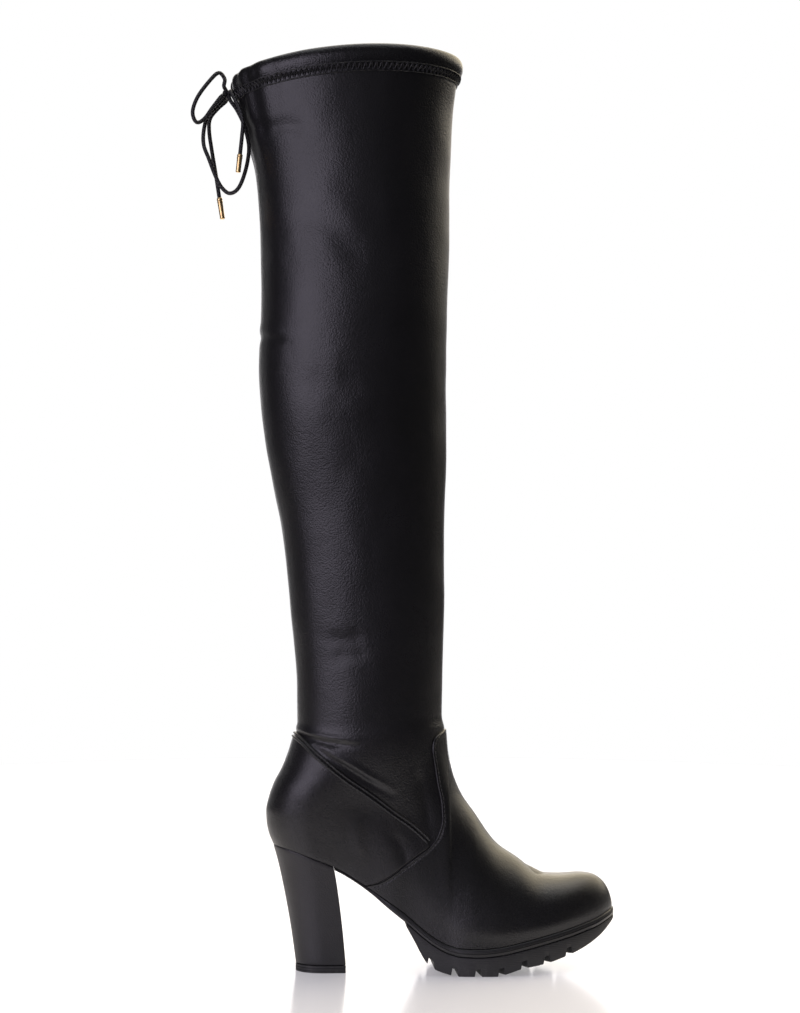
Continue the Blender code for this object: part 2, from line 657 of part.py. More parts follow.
def sole_edge(x, side, overhang):
    """Edge of a sole that follows the feather line with an overhang."""
    rear, front = sole_reach(overhang)
    back, tip = sole_reach(0.0)
    inner_x = back + (x - rear) * (tip - back) / (front - rear)
    half = foot_half(inner_x, 0.0, bottom_height(inner_x), back)
    half += overhang * dome((x - rear) / HEEL_ROUND) * dome((front - x) / TOE_ROUND)
    centre = 0.5 * BALL_WIDTH * curve_at(FOOT, "centre", along(inner_x))
    return centre + side * half


def slab(stations, shares, levels):
    """Closed slab on a grid of stations along and shares across.

    levels are functions of station and share, top first. Those between the top and
    the bottom only shape the side.
    """
    rim = [(0, j) for j in range(len(shares))]
    rim += [(i, len(shares) - 1) for i in range(1, len(stations))]
    rim += [(len(stations) - 1, j) for j in range(len(shares) - 2, -1, -1)]
    rim += [(i, 0) for i in range(len(stations) - 2, 0, -1)]
    points, faces, index = [], [], {}
    for k, level in enumerate(levels):
        whole = k in (0, len(levels) - 1)
        places = [(i, j) for i in range(len(stations)) for j in range(len(shares))] if whole else rim
        for i, j in places:
            index[k, i, j] = len(points)
            points.append(level(stations[i], shares[j]))
    for k, flip in ((0, False), (len(levels) - 1, True)):
        for i in range(len(stations) - 1):
            for j in range(len(shares) - 1):
                a, b = index[k, i, j], index[k, i + 1, j]
                c, d = index[k, i + 1, j + 1], index[k, i, j + 1]
                faces += [(a, c, b), (a, d, c)] if flip else [(a, b, c), (a, c, d)]
    for k in range(len(levels) - 1):
        for n, here in enumerate(rim):
            there = rim[(n + 1) % len(rim)]
            a, b = index[(k, *here)], index[(k, *there)]
            c, d = index[(k + 1, *there)], index[(k + 1, *here)]
            faces += [(a, b, c), (a, c, d)]
    return points, faces


def spread(start, end, count, bunch_start=False, bunch_end=True):
    """Stations from start to end, closer together where the outline turns."""
    places = []
    for i in range(count + 1):
        t = i / count
        if bunch_start and bunch_end:
            t = 0.5 - 0.5 * math.cos(math.pi * t)
        elif bunch_end:
            t = math.sin(0.5 * math.pi * t)
        elif bunch_start:
            t = 1.0 - math.cos(0.5 * math.pi * t)
        places.append(start + t * (end - start))
    return places


def seat_height(x, share):
    """Height of the upper's lower edge, from the outer (-1) to the inner side (1)."""
    outer, inner = rim_height(x, -1), rim_height(x, 1)
    return 0.5 * (outer + inner) + 0.5 * share * (inner - outer)


def sole_point(x, share, rise, overhang):
    """Point a rise over the upper's lower edge, inside a sole's outline."""
    outer = sole_edge(x, -1, overhang)
    inner = sole_edge(x, 1, overhang)
    y = 0.5 * (outer + inner) + 0.5 * share * (inner - outer)
    return (x, y, seat_height(x, share) + rise)


def make_insole(look):
    inset = -(WALL + INSOLE_CLEARANCE)
    rear, front = sole_reach(inset)
    stations = spread(rear + TIP_FLAT, front - TIP_FLAT, 32, True, True)
    points, faces = slab(stations, SHARES_ACROSS[::2], (
        lambda x, share: sole_point(x, share, INSOLE_THICKNESS, inset),
        lambda x, share: sole_point(x, share, 0.0, inset)))
    return add_solid("insole", points, faces, look)


def sole_stations():
    """Stations of the midsole behind and over the outsole.

    They go through the corners of the upper's lower edge, which the sole follows.
    """
    front = sole_reach(SOLE_OVERHANG)[1] - TIP_FLAT
    shank = spread(HEEL_BREAST_X + SHANK_SETBACK, OUTSOLE_REAR_X, 8, False, False)
    corners = [float(x) for side in (-1, 1) for x in RIMS[side][:, 0]]
    forefoot = [OUTSOLE_REAR_X]
    for x in sorted(corners + spread(front - TOE_ROUND, front, 12)):
        if forefoot[-1] + STATION_STEP < x < front - TIP_FLAT:
            forefoot.append(x)
    return shank[:-1], forefoot + [front]


def band_thickness(x):
    full = curve_at(BAND, "full", along(x))
    return SHANK_THICKNESS + (MIDSOLE_THICKNESS - SHANK_THICKNESS) * full


def make_midsole(look):
    shank, forefoot = sole_stations()

    def overhang(x):
        return SOLE_OVERHANG * smooth_step(0.26, 0.40, along(x))

    points, faces = slab(shank + forefoot, SHARES_ACROSS, (
        lambda x, share: sole_point(x, share, -SEAT_GAP, overhang(x)),
        lambda x, share: sole_point(x, share, -SEAT_GAP - band_thickness(x), overhang(x))))
    return add_solid("midsole", points, faces, look)


def tread_height(x):
    return PLATFORM_HEIGHT * curve_at(TREAD, "height", along(x))


def tread_stations():
    """Stations of the outsole, each with True where it lies in a groove."""
    marks = [(x, False) for x in sole_stations()[1]]
    grooves = []
    for n in range(LUG_COUNT):
        middle = FIRST_GROOVE_X + n * LUG_PITCH
        outer = 0.5 * LUG_GROOVE
        inner = outer - LUG_TAPER
        grooves += [(middle - outer, False), (middle - inner, True),
                    (middle + inner, True), (middle + outer, False)]
    clear = [(x, deep) for x, deep in marks
             if all(abs(x - g) > 0.5 * LUG_GROOVE for g, _ in grooves)]
    return sorted(clear + grooves)


def make_outsole(look):
    marks = tread_stations()
    deep = {x: groove for x, groove in marks}
    last = FIRST_GROOVE_X + (LUG_COUNT - 1) * LUG_PITCH

    def under(x, share):
        window = smooth_step(CHEVRON_START, CHEVRON_START + 2.0 * LUG_PITCH, x)
        window *= 1.0 - smooth_step(last, last + LUG_PITCH, x)
        moved = x + LUG_CHEVRON * (1.0 - share * share) * window
        top = over(x, share)
        low = tread_height(moved)
        low += arch_lift(x, 2.0 * top[1] / BALL_WIDTH) * min(low / PLATFORM_HEIGHT, 1.0)
        if deep[x]:
            low += min(LUG_DEPTH, GROOVE_LIMIT * (top[2] - low))
        return (moved, top[1], low)

    def over(x, share):
        return sole_point(x, share, -SEAT_GAP - band_thickness(x) - SOLE_GAP, SOLE_OVERHANG)

    points, faces = slab([x for x, _ in marks], SHARES_ACROSS, (over, under))
    return add_solid("outsole", points, faces, look)


def heel_point(x, share, row):
    """Point of the heel's outline: x and share at the seat, row gives the height."""
    rear = sole_reach(HEEL_OVERHANG)[0] + TIP_FLAT
    q = (x - rear) / (HEEL_BREAST_X - rear)
    top = sole_point(x, share, -SEAT_GAP, HEEL_OVERHANG)
    foot_x = HEEL_FOOT_BACK_X + q * (HEEL_FOOT_BREAST_X - HEEL_FOOT_BACK_X)
    rounded = HEEL_FOOT_FLAT + (1.0 - HEEL_FOOT_FLAT) * q / HEEL_FOOT_ROUND
    foot_y = 0.5 * share * HEEL_FOOT_WIDTH * dome(rounded, END_FULL)
    foot_z = TOP_PIECE_THICKNESS + GAP
    return (foot_x + row.spread * (top[0] - foot_x), foot_y + row.spread * (top[1] - foot_y),
            foot_z + row.up * (top[2] - foot_z))


def heel_stations():
    rear = sole_reach(HEEL_OVERHANG)[0] + TIP_FLAT
    return spread(rear, HEEL_BREAST_X, 12, True, False)


def make_heel(look):
    rows = HEEL_BLOCK[::-1]
    levels = [lambda x, share, row=row: heel_point(x, share, row) for row in rows]
    points, faces = slab(heel_stations(), SHARES_ACROSS[::2], levels)
    return add_solid("heel", points, faces, look)


def make_top_piece(look):
    def at(height):
        def place(x, share):
            point = heel_point(x, share, HEEL_BLOCK[0])
            return (point[0], point[1], height)
        return place
    points, faces = slab(heel_stations(), SHARES_ACROSS[::2], (at(TOP_PIECE_THICKNESS), at(0.0)))
    return add_solid("heel_top_piece", points, faces, look)


# Drawstring

def knot_centre(grid, normals):
    """Middle of the knot, which rests on the lower half of the casing's back."""
    low, top = grid[-2][0], grid[-1][0]
    edge = low + (GAP + CASING_THICKNESS) * normals[-2][0]
    swell = low + CASING_SWELL_UP * (top - low)
    swell = swell + (GAP + CASING_THICKNESS + CASING_SWELL) * normals[-1][0]
    face = swell - edge
    outward = np.array((-face[2], 0.0, face[0])) / math.hypot(face[0], face[2])
    middle = edge + KNOT_UP / CASING_SWELL_UP * face + (KNOT_RADIUS + GAP) * outward
    return Vector((middle[0], KNOT_SIDE, middle[2]))


def leave_knot(point):
    """Two points on a straight way out of the knot's face towards the point."""
    heading = Vector(point).normalized()
    start = KNOT_RADIUS + GAP
    return [start * heading, (start + CORD_DIAMETER) * heading]


def cord_route(centre, points):
    """Evenly spaced places on a smooth curve through points around the knot."""
    ends = [2 * points[0] - points[1]] + points + [2 * points[-1] - points[-2]]
    fine = []
    for i in range(1, len(ends) - 2):
        a, b, c, d = ends[i - 1:i + 3]
        for step in range(ROUTE_STEPS):
            t = step / ROUTE_STEPS
            fine.append(0.5 * (2 * b + t * (c - a) + t * t * (2 * a - 5 * b + 4 * c - d)
                               + t ** 3 * (3 * b - a - 3 * c + d)))
    fine.append(points[-1])
    fine = np.array([tuple(centre + p) for p in fine])
    place = np.concatenate(([0.0], np.cumsum(np.linalg.norm(np.diff(fine, axis=0), axis=1))))
    count = max(int(round(place[-1] / (CORD_STEP * CORD_DIAMETER))), 3)
    wanted = np.linspace(0.0, place[-1], count + 1)
    return np.stack([np.interp(wanted, place, fine[:, k]) for k in range(3)], axis=1)


def loop_places(centre, route):
    middle = [Vector(p) for p in route[1:-1]]
    return cord_route(centre, leave_knot(route[0]) + middle + leave_knot(route[-1])[::-1])


def tail_places(centre, route):
    return cord_route(centre, leave_knot(route[0]) + [Vector(p) for p in route[1:]])


def make_cord(name, places, look):
    curve = bpy.data.curves.new(name, "CURVE")
    curve.dimensions = "3D"
    curve.bevel_depth = 0.5 * CORD_DIAMETER
    curve.bevel_resolution = 2
    curve.use_fill_caps = True
    line = curve.splines.new("POLY")
    line.points.add(len(places) - 1)
    for point, place in zip(line.points, places):
        point.co = (*place, 1.0)
    curve.materials.append(look)
    made = bpy.data.objects.new(name, curve)
    bpy.context.scene.collection.objects.link(made)
    return made


def make_knot(centre, look):
    rings = []
    for i in range(1, KNOT_RINGS + 1):
        angle = math.pi * i / (KNOT_RINGS + 1)
        ring = []
        for j in range(ROUND_SIDES):
            turn = 2.0 * math.pi * j / ROUND_SIDES
            ring.append(centre + KNOT_RADIUS * Vector((
                math.sin(angle) * math.cos(turn), math.sin(angle) * math.sin(turn),
                math.cos(angle))))
        rings.append(ring)
    return add_solid("cord_knot", *bar_of_rings(rings), look)


def make_tip(name, places, length, look):
    """Metal tube clamped on the end of a tail, in line with it."""
    heading = Vector(places[-1] - places[-2]).normalized()
    side = heading.orthogonal().normalized()
    other = heading.cross(side)
    start = Vector(places[-1]) + GAP * heading
    turns = [2.0 * math.pi * k / ROUND_SIDES for k in range(ROUND_SIDES)]
    rings = []
    for share, size in ((0.0, 0.92), (0.06, 1.0), (0.90, 0.90), (1.0, 0.74)):
        middle = start + share * length * heading
        radius = 0.5 * TIP_DIAMETER * size
        rings.append([middle + radius * (math.cos(a) * side + math.sin(a) * other) for a in turns])
    return add_solid(name, *bar_of_rings([ring[::-1] for ring in rings]), look)


def build():
    clear_scene()
    grid = upper_grid()
    normals = grid_normals(grid)
    make_upper(grid, normals, material("shaft_leather", (0.012, 0.012, 0.014), 0.35))
    make_vamp(grid, normals, material("vamp_leather", (0.014, 0.014, 0.016), 0.33))
    make_quarter(grid, normals, material("quarter_leather", (0.014, 0.014, 0.016), 0.34))
    make_ankle_seam(grid, normals, material("seam_leather", (0.010, 0.010, 0.012), 0.40))
    make_casing(grid, normals, material("casing_leather", (0.012, 0.012, 0.014), 0.38))
    make_insole(material("insole_cloth", (0.020, 0.020, 0.022), 0.80))
    make_midsole(material("midsole_rubber", (0.016, 0.016, 0.017), 0.45))
    make_outsole(material("outsole_rubber", (0.022, 0.022, 0.023), 0.65))
    make_heel(material("heel_cover", (0.014, 0.014, 0.016), 0.36))
    make_top_piece(material("top_piece_rubber", (0.020, 0.020, 0.021), 0.60))
    cord = material("black_cord", (0.010, 0.010, 0.011), 0.75)
    centre = knot_centre(grid, normals)
    make_knot(centre, cord)
    make_cord("cord_loop_a", loop_places(centre, LOOP_A), cord)
    make_cord("cord_loop_b", loop_places(centre, LOOP_B), cord)
    tail_a, tail_b = tail_places(centre, TAIL_A), tail_places(centre, TAIL_B)
    make_cord("cord_tail_a", tail_a, cord)
    make_cord("cord_tail_b", tail_b, cord)
    metal = material("gold_metal", (0.72, 0.52, 0.25), 0.25, 1.0)
    make_tip("cord_tip_a", tail_a, TIP_LONG, metal)
    make_tip("cord_tip_b", tail_b, TIP_SHORT, metal)


build()
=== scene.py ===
"""Looks of the thigh high boot: fine leather, soles, bow, threads, light and camera.

Metres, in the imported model's frame: toe towards +X, outer side of the right foot
towards -Y. The surface is the one that the part's own tables give, in finer steps.
"""
import math
from collections import namedtuple

import bpy
import numpy as np
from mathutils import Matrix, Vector, noise


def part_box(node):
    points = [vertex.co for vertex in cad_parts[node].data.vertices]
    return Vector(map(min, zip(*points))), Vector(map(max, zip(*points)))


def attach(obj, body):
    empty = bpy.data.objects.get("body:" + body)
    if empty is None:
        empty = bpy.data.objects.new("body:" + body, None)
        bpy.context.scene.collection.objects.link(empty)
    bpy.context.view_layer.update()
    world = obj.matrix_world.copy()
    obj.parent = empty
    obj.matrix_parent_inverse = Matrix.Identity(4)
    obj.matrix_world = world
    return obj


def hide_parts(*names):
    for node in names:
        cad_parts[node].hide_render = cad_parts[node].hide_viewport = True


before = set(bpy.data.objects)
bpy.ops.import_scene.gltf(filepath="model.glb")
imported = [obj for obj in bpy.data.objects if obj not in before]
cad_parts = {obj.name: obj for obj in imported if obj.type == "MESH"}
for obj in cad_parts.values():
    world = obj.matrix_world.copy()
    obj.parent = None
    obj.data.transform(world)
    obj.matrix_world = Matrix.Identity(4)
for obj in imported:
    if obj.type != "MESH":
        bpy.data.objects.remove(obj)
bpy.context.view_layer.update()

# Sizes of the last, the shaft and the sole, as in the part
HEEL_BACK_X = -0.1079
FOOT_LENGTH = 0.2396
BALL_WIDTH = 0.080
HEEL_HEIGHT = 0.0870
PLATFORM_HEIGHT = 0.0186
TOE_SPRING = 0.0225
INSTEP_RISE = 0.1435
HEEL_ROUND = 0.030
TOE_ROUND = 0.050
ARCH_TILT = 0.0022
INSTEP_LEAN = 0.0025
ANKLE_BACK_HEIGHT = 0.160
COLLAR_FRONT_HEIGHT = 0.6345
COLLAR_BACK_HEIGHT = 0.6210
COLLAR_ARCH = 0.0050
SHAFT_AXIS_X = -0.0490
CALF_DEPTH = 0.131
CALF_WIDTH = 0.100
WALL = 0.0018
COVER = 0.0013
SEAT_GAP = 0.0005
SOLE_GAP = 0.0002
SHANK_SETBACK = 0.0006
INSOLE_THICKNESS = 0.0030
INSOLE_INSET = 0.0024
MIDSOLE_THICKNESS = 0.0054
SHANK_THICKNESS = 0.0018
SOLE_OVERHANG = 0.0022
LUG_DEPTH = 0.0050
GROOVE_LIMIT = 0.55
LUG_PITCH = 0.0158
LUG_GROOVE = 0.0046
LUG_TAPER = 0.0008
LUG_COUNT = 7
LUG_CHEVRON = -0.0060
CHEVRON_START = 0.024
FIRST_GROOVE_X = 0.0026
OUTSOLE_REAR_X = -0.0140
HEEL_BREAST_X = -0.0630
HEEL_FOOT_BACK_X = -0.0882
HEEL_FOOT_BREAST_X = -0.0545
HEEL_FOOT_WIDTH = 0.0410
HEEL_FOOT_ROUND = 0.62
HEEL_FOOT_FLAT = 0.04
HEEL_OVERHANG = 0.0010
TOP_PIECE_THICKNESS = 0.0050
CASING_HEIGHT = 0.0140
TOE_TUCK = 0.035
HEEL_GROWTH = 0.30
END_FULL = 2.2
CORD_DIAMETER = 0.0028
TIP_DIAMETER = 0.0040
KNOT_RADIUS = 0.0036
# One row for each station along the last, from the back of the heel to the toe tip.
# along: share of the foot length. half, centre: shares of half the ball width.
# seat: share of the heel's rise over the ball. spring: share of the toe spring.
# ridge: top of the section over its bottom, share of the instep's rise, and
# behind the instep the top that the section would have without a shaft.
# full: exponent of the section's rounding.
FootRow = namedtuple("FootRow", "along half centre seat spring ridge full")
FOOT = (
    FootRow(0.000, 0.62, 0.000, 1.010, 0.00, 3.570, 2.0),
    FootRow(0.071, 0.65, 0.000, 0.952, 0.00, 3.130, 2.0),
    FootRow(0.120, 0.66, 0.000, 0.888, 0.00, 2.900, 2.0),
    FootRow(0.190, 0.66, 0.000, 0.790, 0.00, 2.500, 2.0),
    FootRow(0.281, 0.64, -0.060, 0.610, 0.00, 2.033, 2.0),
    FootRow(0.376, 0.67, -0.115, 0.395, 0.00, 1.600, 2.0),
    FootRow(0.471, 0.77, -0.120, 0.128, 0.00, 1.155, 1.9),
    FootRow(0.513, 0.83, -0.110, 0.045, 0.00, 1.000, 1.9),
    FootRow(0.519, 0.84, -0.108, 0.038, 0.00, 0.888, 1.9),
    FootRow(0.546, 0.89, -0.098, 0.012, 0.00, 0.735, 1.9),
    FootRow(0.598, 0.96, -0.070, 0.000, 0.00, 0.605, 1.9),
    FootRow(0.660, 1.00, -0.030, 0.000, 0.06, 0.455, 2.0),
    FootRow(0.722, 0.985, 0.000, 0.000, 0.19, 0.360, 2.1),
    FootRow(0.785, 0.925, 0.020, 0.000, 0.34, 0.262, 2.3),
    FootRow(0.850, 0.81, 0.035, 0.000, 0.50, 0.226, 2.5),
    FootRow(0.915, 0.63, 0.055, 0.000, 0.68, 0.202, 2.6),
    FootRow(0.948, 0.50, 0.062, 0.000, 0.78, 0.178, 2.6),
    FootRow(0.972, 0.365, 0.068, 0.000, 0.88, 0.137, 2.5),
    FootRow(0.987, 0.245, 0.072, 0.000, 0.94, 0.091, 2.4),
    FootRow(0.997, 0.115, 0.075, 0.000, 0.985, 0.032, 2.3),
    FootRow(1.000, 0.000, 0.075, 0.000, 1.00, 0.000, 2.2),
)

# One row for each ring of the shaft, from the ankle to the collar.
# up: share of the way to the collar. front, back: reach from the shaft's axis, shares
# of the calf depth. half, lean: shares of half the calf width. full: exponent.
ShaftRow = namedtuple("ShaftRow", "up front back half lean full")
SHAFT = (
    ShaftRow(0.000, 0.492, 0.308, 0.71, 0.00, 2.15),
    ShaftRow(0.020, 0.477, 0.293, 0.70, 0.00, 2.15),
    ShaftRow(0.080, 0.479, 0.296, 0.70, 0.00, 2.15),
    ShaftRow(0.200, 0.490, 0.334, 0.74, 0.01, 2.15),
    ShaftRow(0.320, 0.492, 0.384, 0.80, 0.02, 2.15),
    ShaftRow(0.380, 0.498, 0.428, 0.85, 0.03, 2.15),
    ShaftRow(0.440, 0.501, 0.468, 0.90, 0.03, 2.15),
    ShaftRow(0.500, 0.501, 0.494, 0.94, 0.02, 2.15),
    ShaftRow(0.560, 0.504, 0.504, 0.97, 0.01, 2.15),
    ShaftRow(0.680, 0.512, 0.492, 1.00, 0.00, 2.15),
    ShaftRow(0.800, 0.517, 0.506, 1.00, 0.00, 2.15),
    ShaftRow(0.860, 0.526, 0.528, 1.01, 0.00, 2.15),
    ShaftRow(0.920, 0.538, 0.588, 1.03, 0.00, 2.15),
    ShaftRow(0.970, 0.562, 0.626, 1.05, 0.00, 2.15),
    ShaftRow(1.000, 0.576, 0.640, 1.06, 0.00, 2.15),
)

# Back of the heel between feather line and ankle: up is the share of the way,
# back the share of the heel bulge that stands behind the ankle.
BackRow = namedtuple("BackRow", "up back")
HEEL_CURVE = (
    BackRow(0.00, 0.74), BackRow(0.10, 0.90), BackRow(0.20, 0.98), BackRow(0.30, 1.00),
    BackRow(0.43, 0.90), BackRow(0.57, 0.71), BackRow(0.70, 0.44), BackRow(0.85, 0.19),
    BackRow(1.00, 0.00),
)

# Rear edge of the vamp. level: share of the way from the feather line to the ankle
# ring. along: place as a share of the foot length.
SeamRow = namedtuple("SeamRow", "level along")
VAMP_EDGE = (
    SeamRow(0.000, 0.279), SeamRow(0.066, 0.313), SeamRow(0.156, 0.349), SeamRow(0.259, 0.388),
    SeamRow(0.358, 0.428), SeamRow(0.426, 0.459), SeamRow(0.500, 0.484), SeamRow(0.580, 0.495),
    SeamRow(0.646, 0.493), SeamRow(0.738, 0.483), SeamRow(0.832, 0.475), SeamRow(0.908, 0.469),
    SeamRow(0.955, 0.473), SeamRow(0.982, 0.489), SeamRow(1.000, 0.513),
)
# Ankle seam, from the vamp up to the back of the ankle: same columns
ANKLE_EDGE = (
    SeamRow(0.425, 0.468), SeamRow(0.445, 0.447), SeamRow(0.490, 0.399), SeamRow(0.525, 0.349),
    SeamRow(0.577, 0.298), SeamRow(0.621, 0.258), SeamRow(0.681, 0.207), SeamRow(0.817, 0.136),
    SeamRow(0.900, 0.103), SeamRow(0.950, 0.087), SeamRow(0.985, 0.073), SeamRow(1.040, 0.050),
    SeamRow(1.130, 0.010),
)

# Underside of the forefoot: place as a share of the foot length, height as a share
# of the platform's height
TreadRow = namedtuple("TreadRow", "along height")
TREAD = (
    TreadRow(0.360, 2.34), TreadRow(0.380, 2.10), TreadRow(0.402, 1.64), TreadRow(0.424, 1.12),
    TreadRow(0.446, 0.58), TreadRow(0.456, 0.42), TreadRow(0.478, 0.22), TreadRow(0.500, 0.11),
    TreadRow(0.535, 0.00), TreadRow(0.646, 0.00), TreadRow(0.680, 0.10), TreadRow(0.716, 0.24),
    TreadRow(0.782, 0.39), TreadRow(0.849, 0.63), TreadRow(0.906, 0.91), TreadRow(0.958, 1.29),
    TreadRow(0.990, 1.62), TreadRow(1.010, 1.84),
)
# Thickness of the midsole: 0 is the thin shank, 1 the full band
BandRow = namedtuple("BandRow", "along full")
BAND = (BandRow(0.18, 0.0), BandRow(0.26, 0.05), BandRow(0.29, 0.20), BandRow(0.34, 0.75),
        BandRow(0.38, 1.0), BandRow(1.02, 1.0))
# Heel block between its foot and its seat: up is the share of the way, spread the
# share of the difference between the two outlines
HeelRow = namedtuple("HeelRow", "up spread")
HEEL_BLOCK = (HeelRow(0.0, 0.0), HeelRow(0.30, 0.22), HeelRow(0.62, 0.52),
              HeelRow(0.85, 0.78), HeelRow(1.0, 1.0))

# Fineness of the meshes
COLUMNS = 240               # around the upper
FOOT_ROWS = 130
SHAFT_ROWS = 262
ANKLE_FINE = 0.5            # spacing of the shaft's rings at the ankle, against the mean
EVENING_ROUNDS = 20
EVENING_PULLS = (0.110, -0.112)     # out and back, so that the surface keeps its size
COVERED_LEVEL = 0.38        # up to here the shaft's foot lies under vamp and quarter
QUARTER_TOP = 0.983         # level at which the quarter's edge meets the back of the ankle
SKIN = 0.0001               # covers reach this far into the shaft's skin
SOFT_STEPS = 480

# What the fine pieces add
LINING = 0.0004
LINING_GAP = 0.0002
STRIP_HALF = 0.0024         # ankle seam: half its width
STRIP_HEIGHT = 0.0017
STRIP_SHIFT = 0.0042        # from the seam to the strip's middle line
STRIP_REACH = (0.452, 1.118)        # levels between which the strip runs
STRIP_STITCHES = (-0.52, 0.52)      # rows of stitches, shares of its half width
STRIP_ROOT = 0.0006         # how far the strip reaches into the leather
BACK_MARGIN = 0.4           # columns kept free where a seam's two halves meet
STITCH_LENGTH = 0.0021
STITCH_PITCH = 0.0029
THREAD = 0.00068
EDGE_TO_STITCH = 0.0019     # from a lapped edge to its row of stitches
STITCH_DIP = 0.0006         # half width of the furrow that the stitches draw in
EDGE_SHARE = 0.12           # height of a cut edge, as a share of the cover
PLEAT_DEPTH = 0.00035       # of the casing's pleats behind the bow
ZIGZAG_PITCH = 0.0034
ZIGZAG_HEIGHT = 0.0052
ZIGZAG_THREAD = 0.00056     # radius of the slanted thread
EDGE_THREAD = 0.00046       # radius of the two threads beside it


def curve(rows, column, at):
    """Smooth values of a table's column at places given in its first column."""
    xs = np.array([row[0] for row in rows])
    ys = np.array([getattr(row, column) for row in rows])
    at = np.clip(at, xs[0], xs[-1])
    step = np.diff(ys) / np.diff(xs)
    before, after = np.diff(xs)[:-1], np.diff(xs)[1:]
    turning = step[:-1] * step[1:] > 0.0
    safe = np.where(turning, step[:-1], 1.0), np.where(turning, step[1:], 1.0)
    inner = 3.0 * (before + after) / ((2 * after + before) / safe[0]
                                      + (after + 2 * before) / safe[1])
    slope = np.concatenate(([step[0]], np.where(turning, inner, 0.0), [step[-1]]))
    k = np.clip(np.searchsorted(xs, at, side="right") - 1, 0, len(xs) - 2)
    width = xs[k + 1] - xs[k]
    t = (at - xs[k]) / width
    return (ys[k] * (2 * t ** 3 - 3 * t ** 2 + 1) + slope[k] * width * (t ** 3 - 2 * t ** 2 + t)
            + ys[k + 1] * (3 * t ** 2 - 2 * t ** 3) + slope[k + 1] * width * (t ** 3 - t ** 2))


def smooth_step(low, high, value):
    t = np.clip((value - low) / (high - low), 0.0, 1.0)
    return t * t * (3.0 - 2.0 * t)


def dome(share, power=2.0):
    """Rounding that rises from 0 to 1 as share goes from 0 to 1."""
    share = np.clip(share, 0.0, 1.0)
    return np.maximum(1.0 - (1.0 - share) ** power, 0.0) ** (1.0 / power)


# The surface of the upper, from the part's tables

def along(x):
    return (x - HEEL_BACK_X) / FOOT_LENGTH


def bottom_height(x):
    a = along(x)
    return (PLATFORM_HEIGHT + (HEEL_HEIGHT - PLATFORM_HEIGHT) * curve(FOOT, "seat", a)
            + TOE_SPRING * curve(FOOT, "spring", a))


def ridge_rise(x):
    return INSTEP_RISE * curve(FOOT, "ridge", along(x))


def arch_lift(x, side):
    a = along(x)
    return ARCH_TILT * side * smooth_step(0.20, 0.36, a) * (1.0 - smooth_step(0.42, 0.60, a))


TIP_X = HEEL_BACK_X + FOOT_LENGTH
ANKLE_FRONT_X = HEEL_BACK_X + 0.513 * FOOT_LENGTH
ANKLE_FRONT_HEIGHT = bottom_height(ANKLE_FRONT_X) + INSTEP_RISE
ANKLE_BACK_X = SHAFT_AXIS_X - SHAFT[0].back * CALF_DEPTH
SEAT_BACK_HEIGHT = bottom_height(HEEL_BACK_X)
SHAFT_LEVELS = (COLLAR_BACK_HEIGHT - ANKLE_BACK_HEIGHT) / (ANKLE_BACK_HEIGHT - SEAT_BACK_HEIGHT)


def ankle_line(x):
    slope = (ANKLE_FRONT_HEIGHT - ANKLE_BACK_HEIGHT) / (ANKLE_FRONT_X - ANKLE_BACK_X)
    return ANKLE_BACK_HEIGHT + slope * (x - ANKLE_BACK_X)


def ring_level(front_x):
    floor = bottom_height(front_x)
    return ridge_rise(front_x) / (ankle_line(front_x) - floor)


def ring_back_x(level):
    return ANKLE_BACK_X - (ANKLE_BACK_X - HEEL_BACK_X) * curve(HEEL_CURVE, "back", level)


def shaft_half(share, row_half, full):
    return row_half * np.maximum(1.0 - np.abs(2.0 * share - 1.0) ** full, 0.0) ** (1.0 / full)


def foot_half(x, level, height, back_x):
    a = along(x)
    rise = np.maximum((height - bottom_height(x)) / np.maximum(ridge_rise(x), 1e-6), 0.0)
    full = curve(FOOT, "full", a)
    section = np.maximum(1.0 - np.minimum(rise, 1.0) ** full, 0.0) ** (1.0 / full)
    tuck = 1.0 - TOE_TUCK * (1.0 - smooth_step(0.0, 0.16, rise))
    growth = 1.0 + HEEL_GROWTH * level ** 0.8 * (1.0 - smooth_step(0.15, 0.52, a))
    heel_end = dome((x - back_x) / HEEL_ROUND, END_FULL)
    return 0.5 * BALL_WIDTH * curve(FOOT, "half", a) * section * tuck * growth * heel_end


SHARES = 0.5 - 0.5 * np.cos(np.pi * np.arange(SOFT_STEPS + 1) / SOFT_STEPS)


def foot_ring(front_x, level, side):
    """Half ring of the foot, back to front. side is -1 outer, 1 inner."""
    back_x = ring_back_x(level)
    mix = smooth_step(0.45, 1.0, level)
    x = back_x + SHARES * (front_x - back_x)
    floor = bottom_height(x)
    height = floor + level * (ankle_line(x) - floor)
    ankle_half = shaft_half(SHARES, 0.5 * CALF_WIDTH * SHAFT[0].half, SHAFT[0].full)
    half = (1.0 - mix) * foot_half(x, level, height, back_x) + mix * ankle_half
    half[[0, -1]] = 0.0
    centre = 0.5 * BALL_WIDTH * curve(FOOT, "centre", along(x)) * (1.0 - level)
    lean = INSTEP_LEAN * math.sin(math.pi * min(level / 0.9, 1.0)) * smooth_step(0.3, 0.6, along(x))
    lift = (1.0 - level) * arch_lift(x, side * half / (0.5 * BALL_WIDTH))
    return np.stack((x, centre + lean + side * half, height + lift), axis=1)


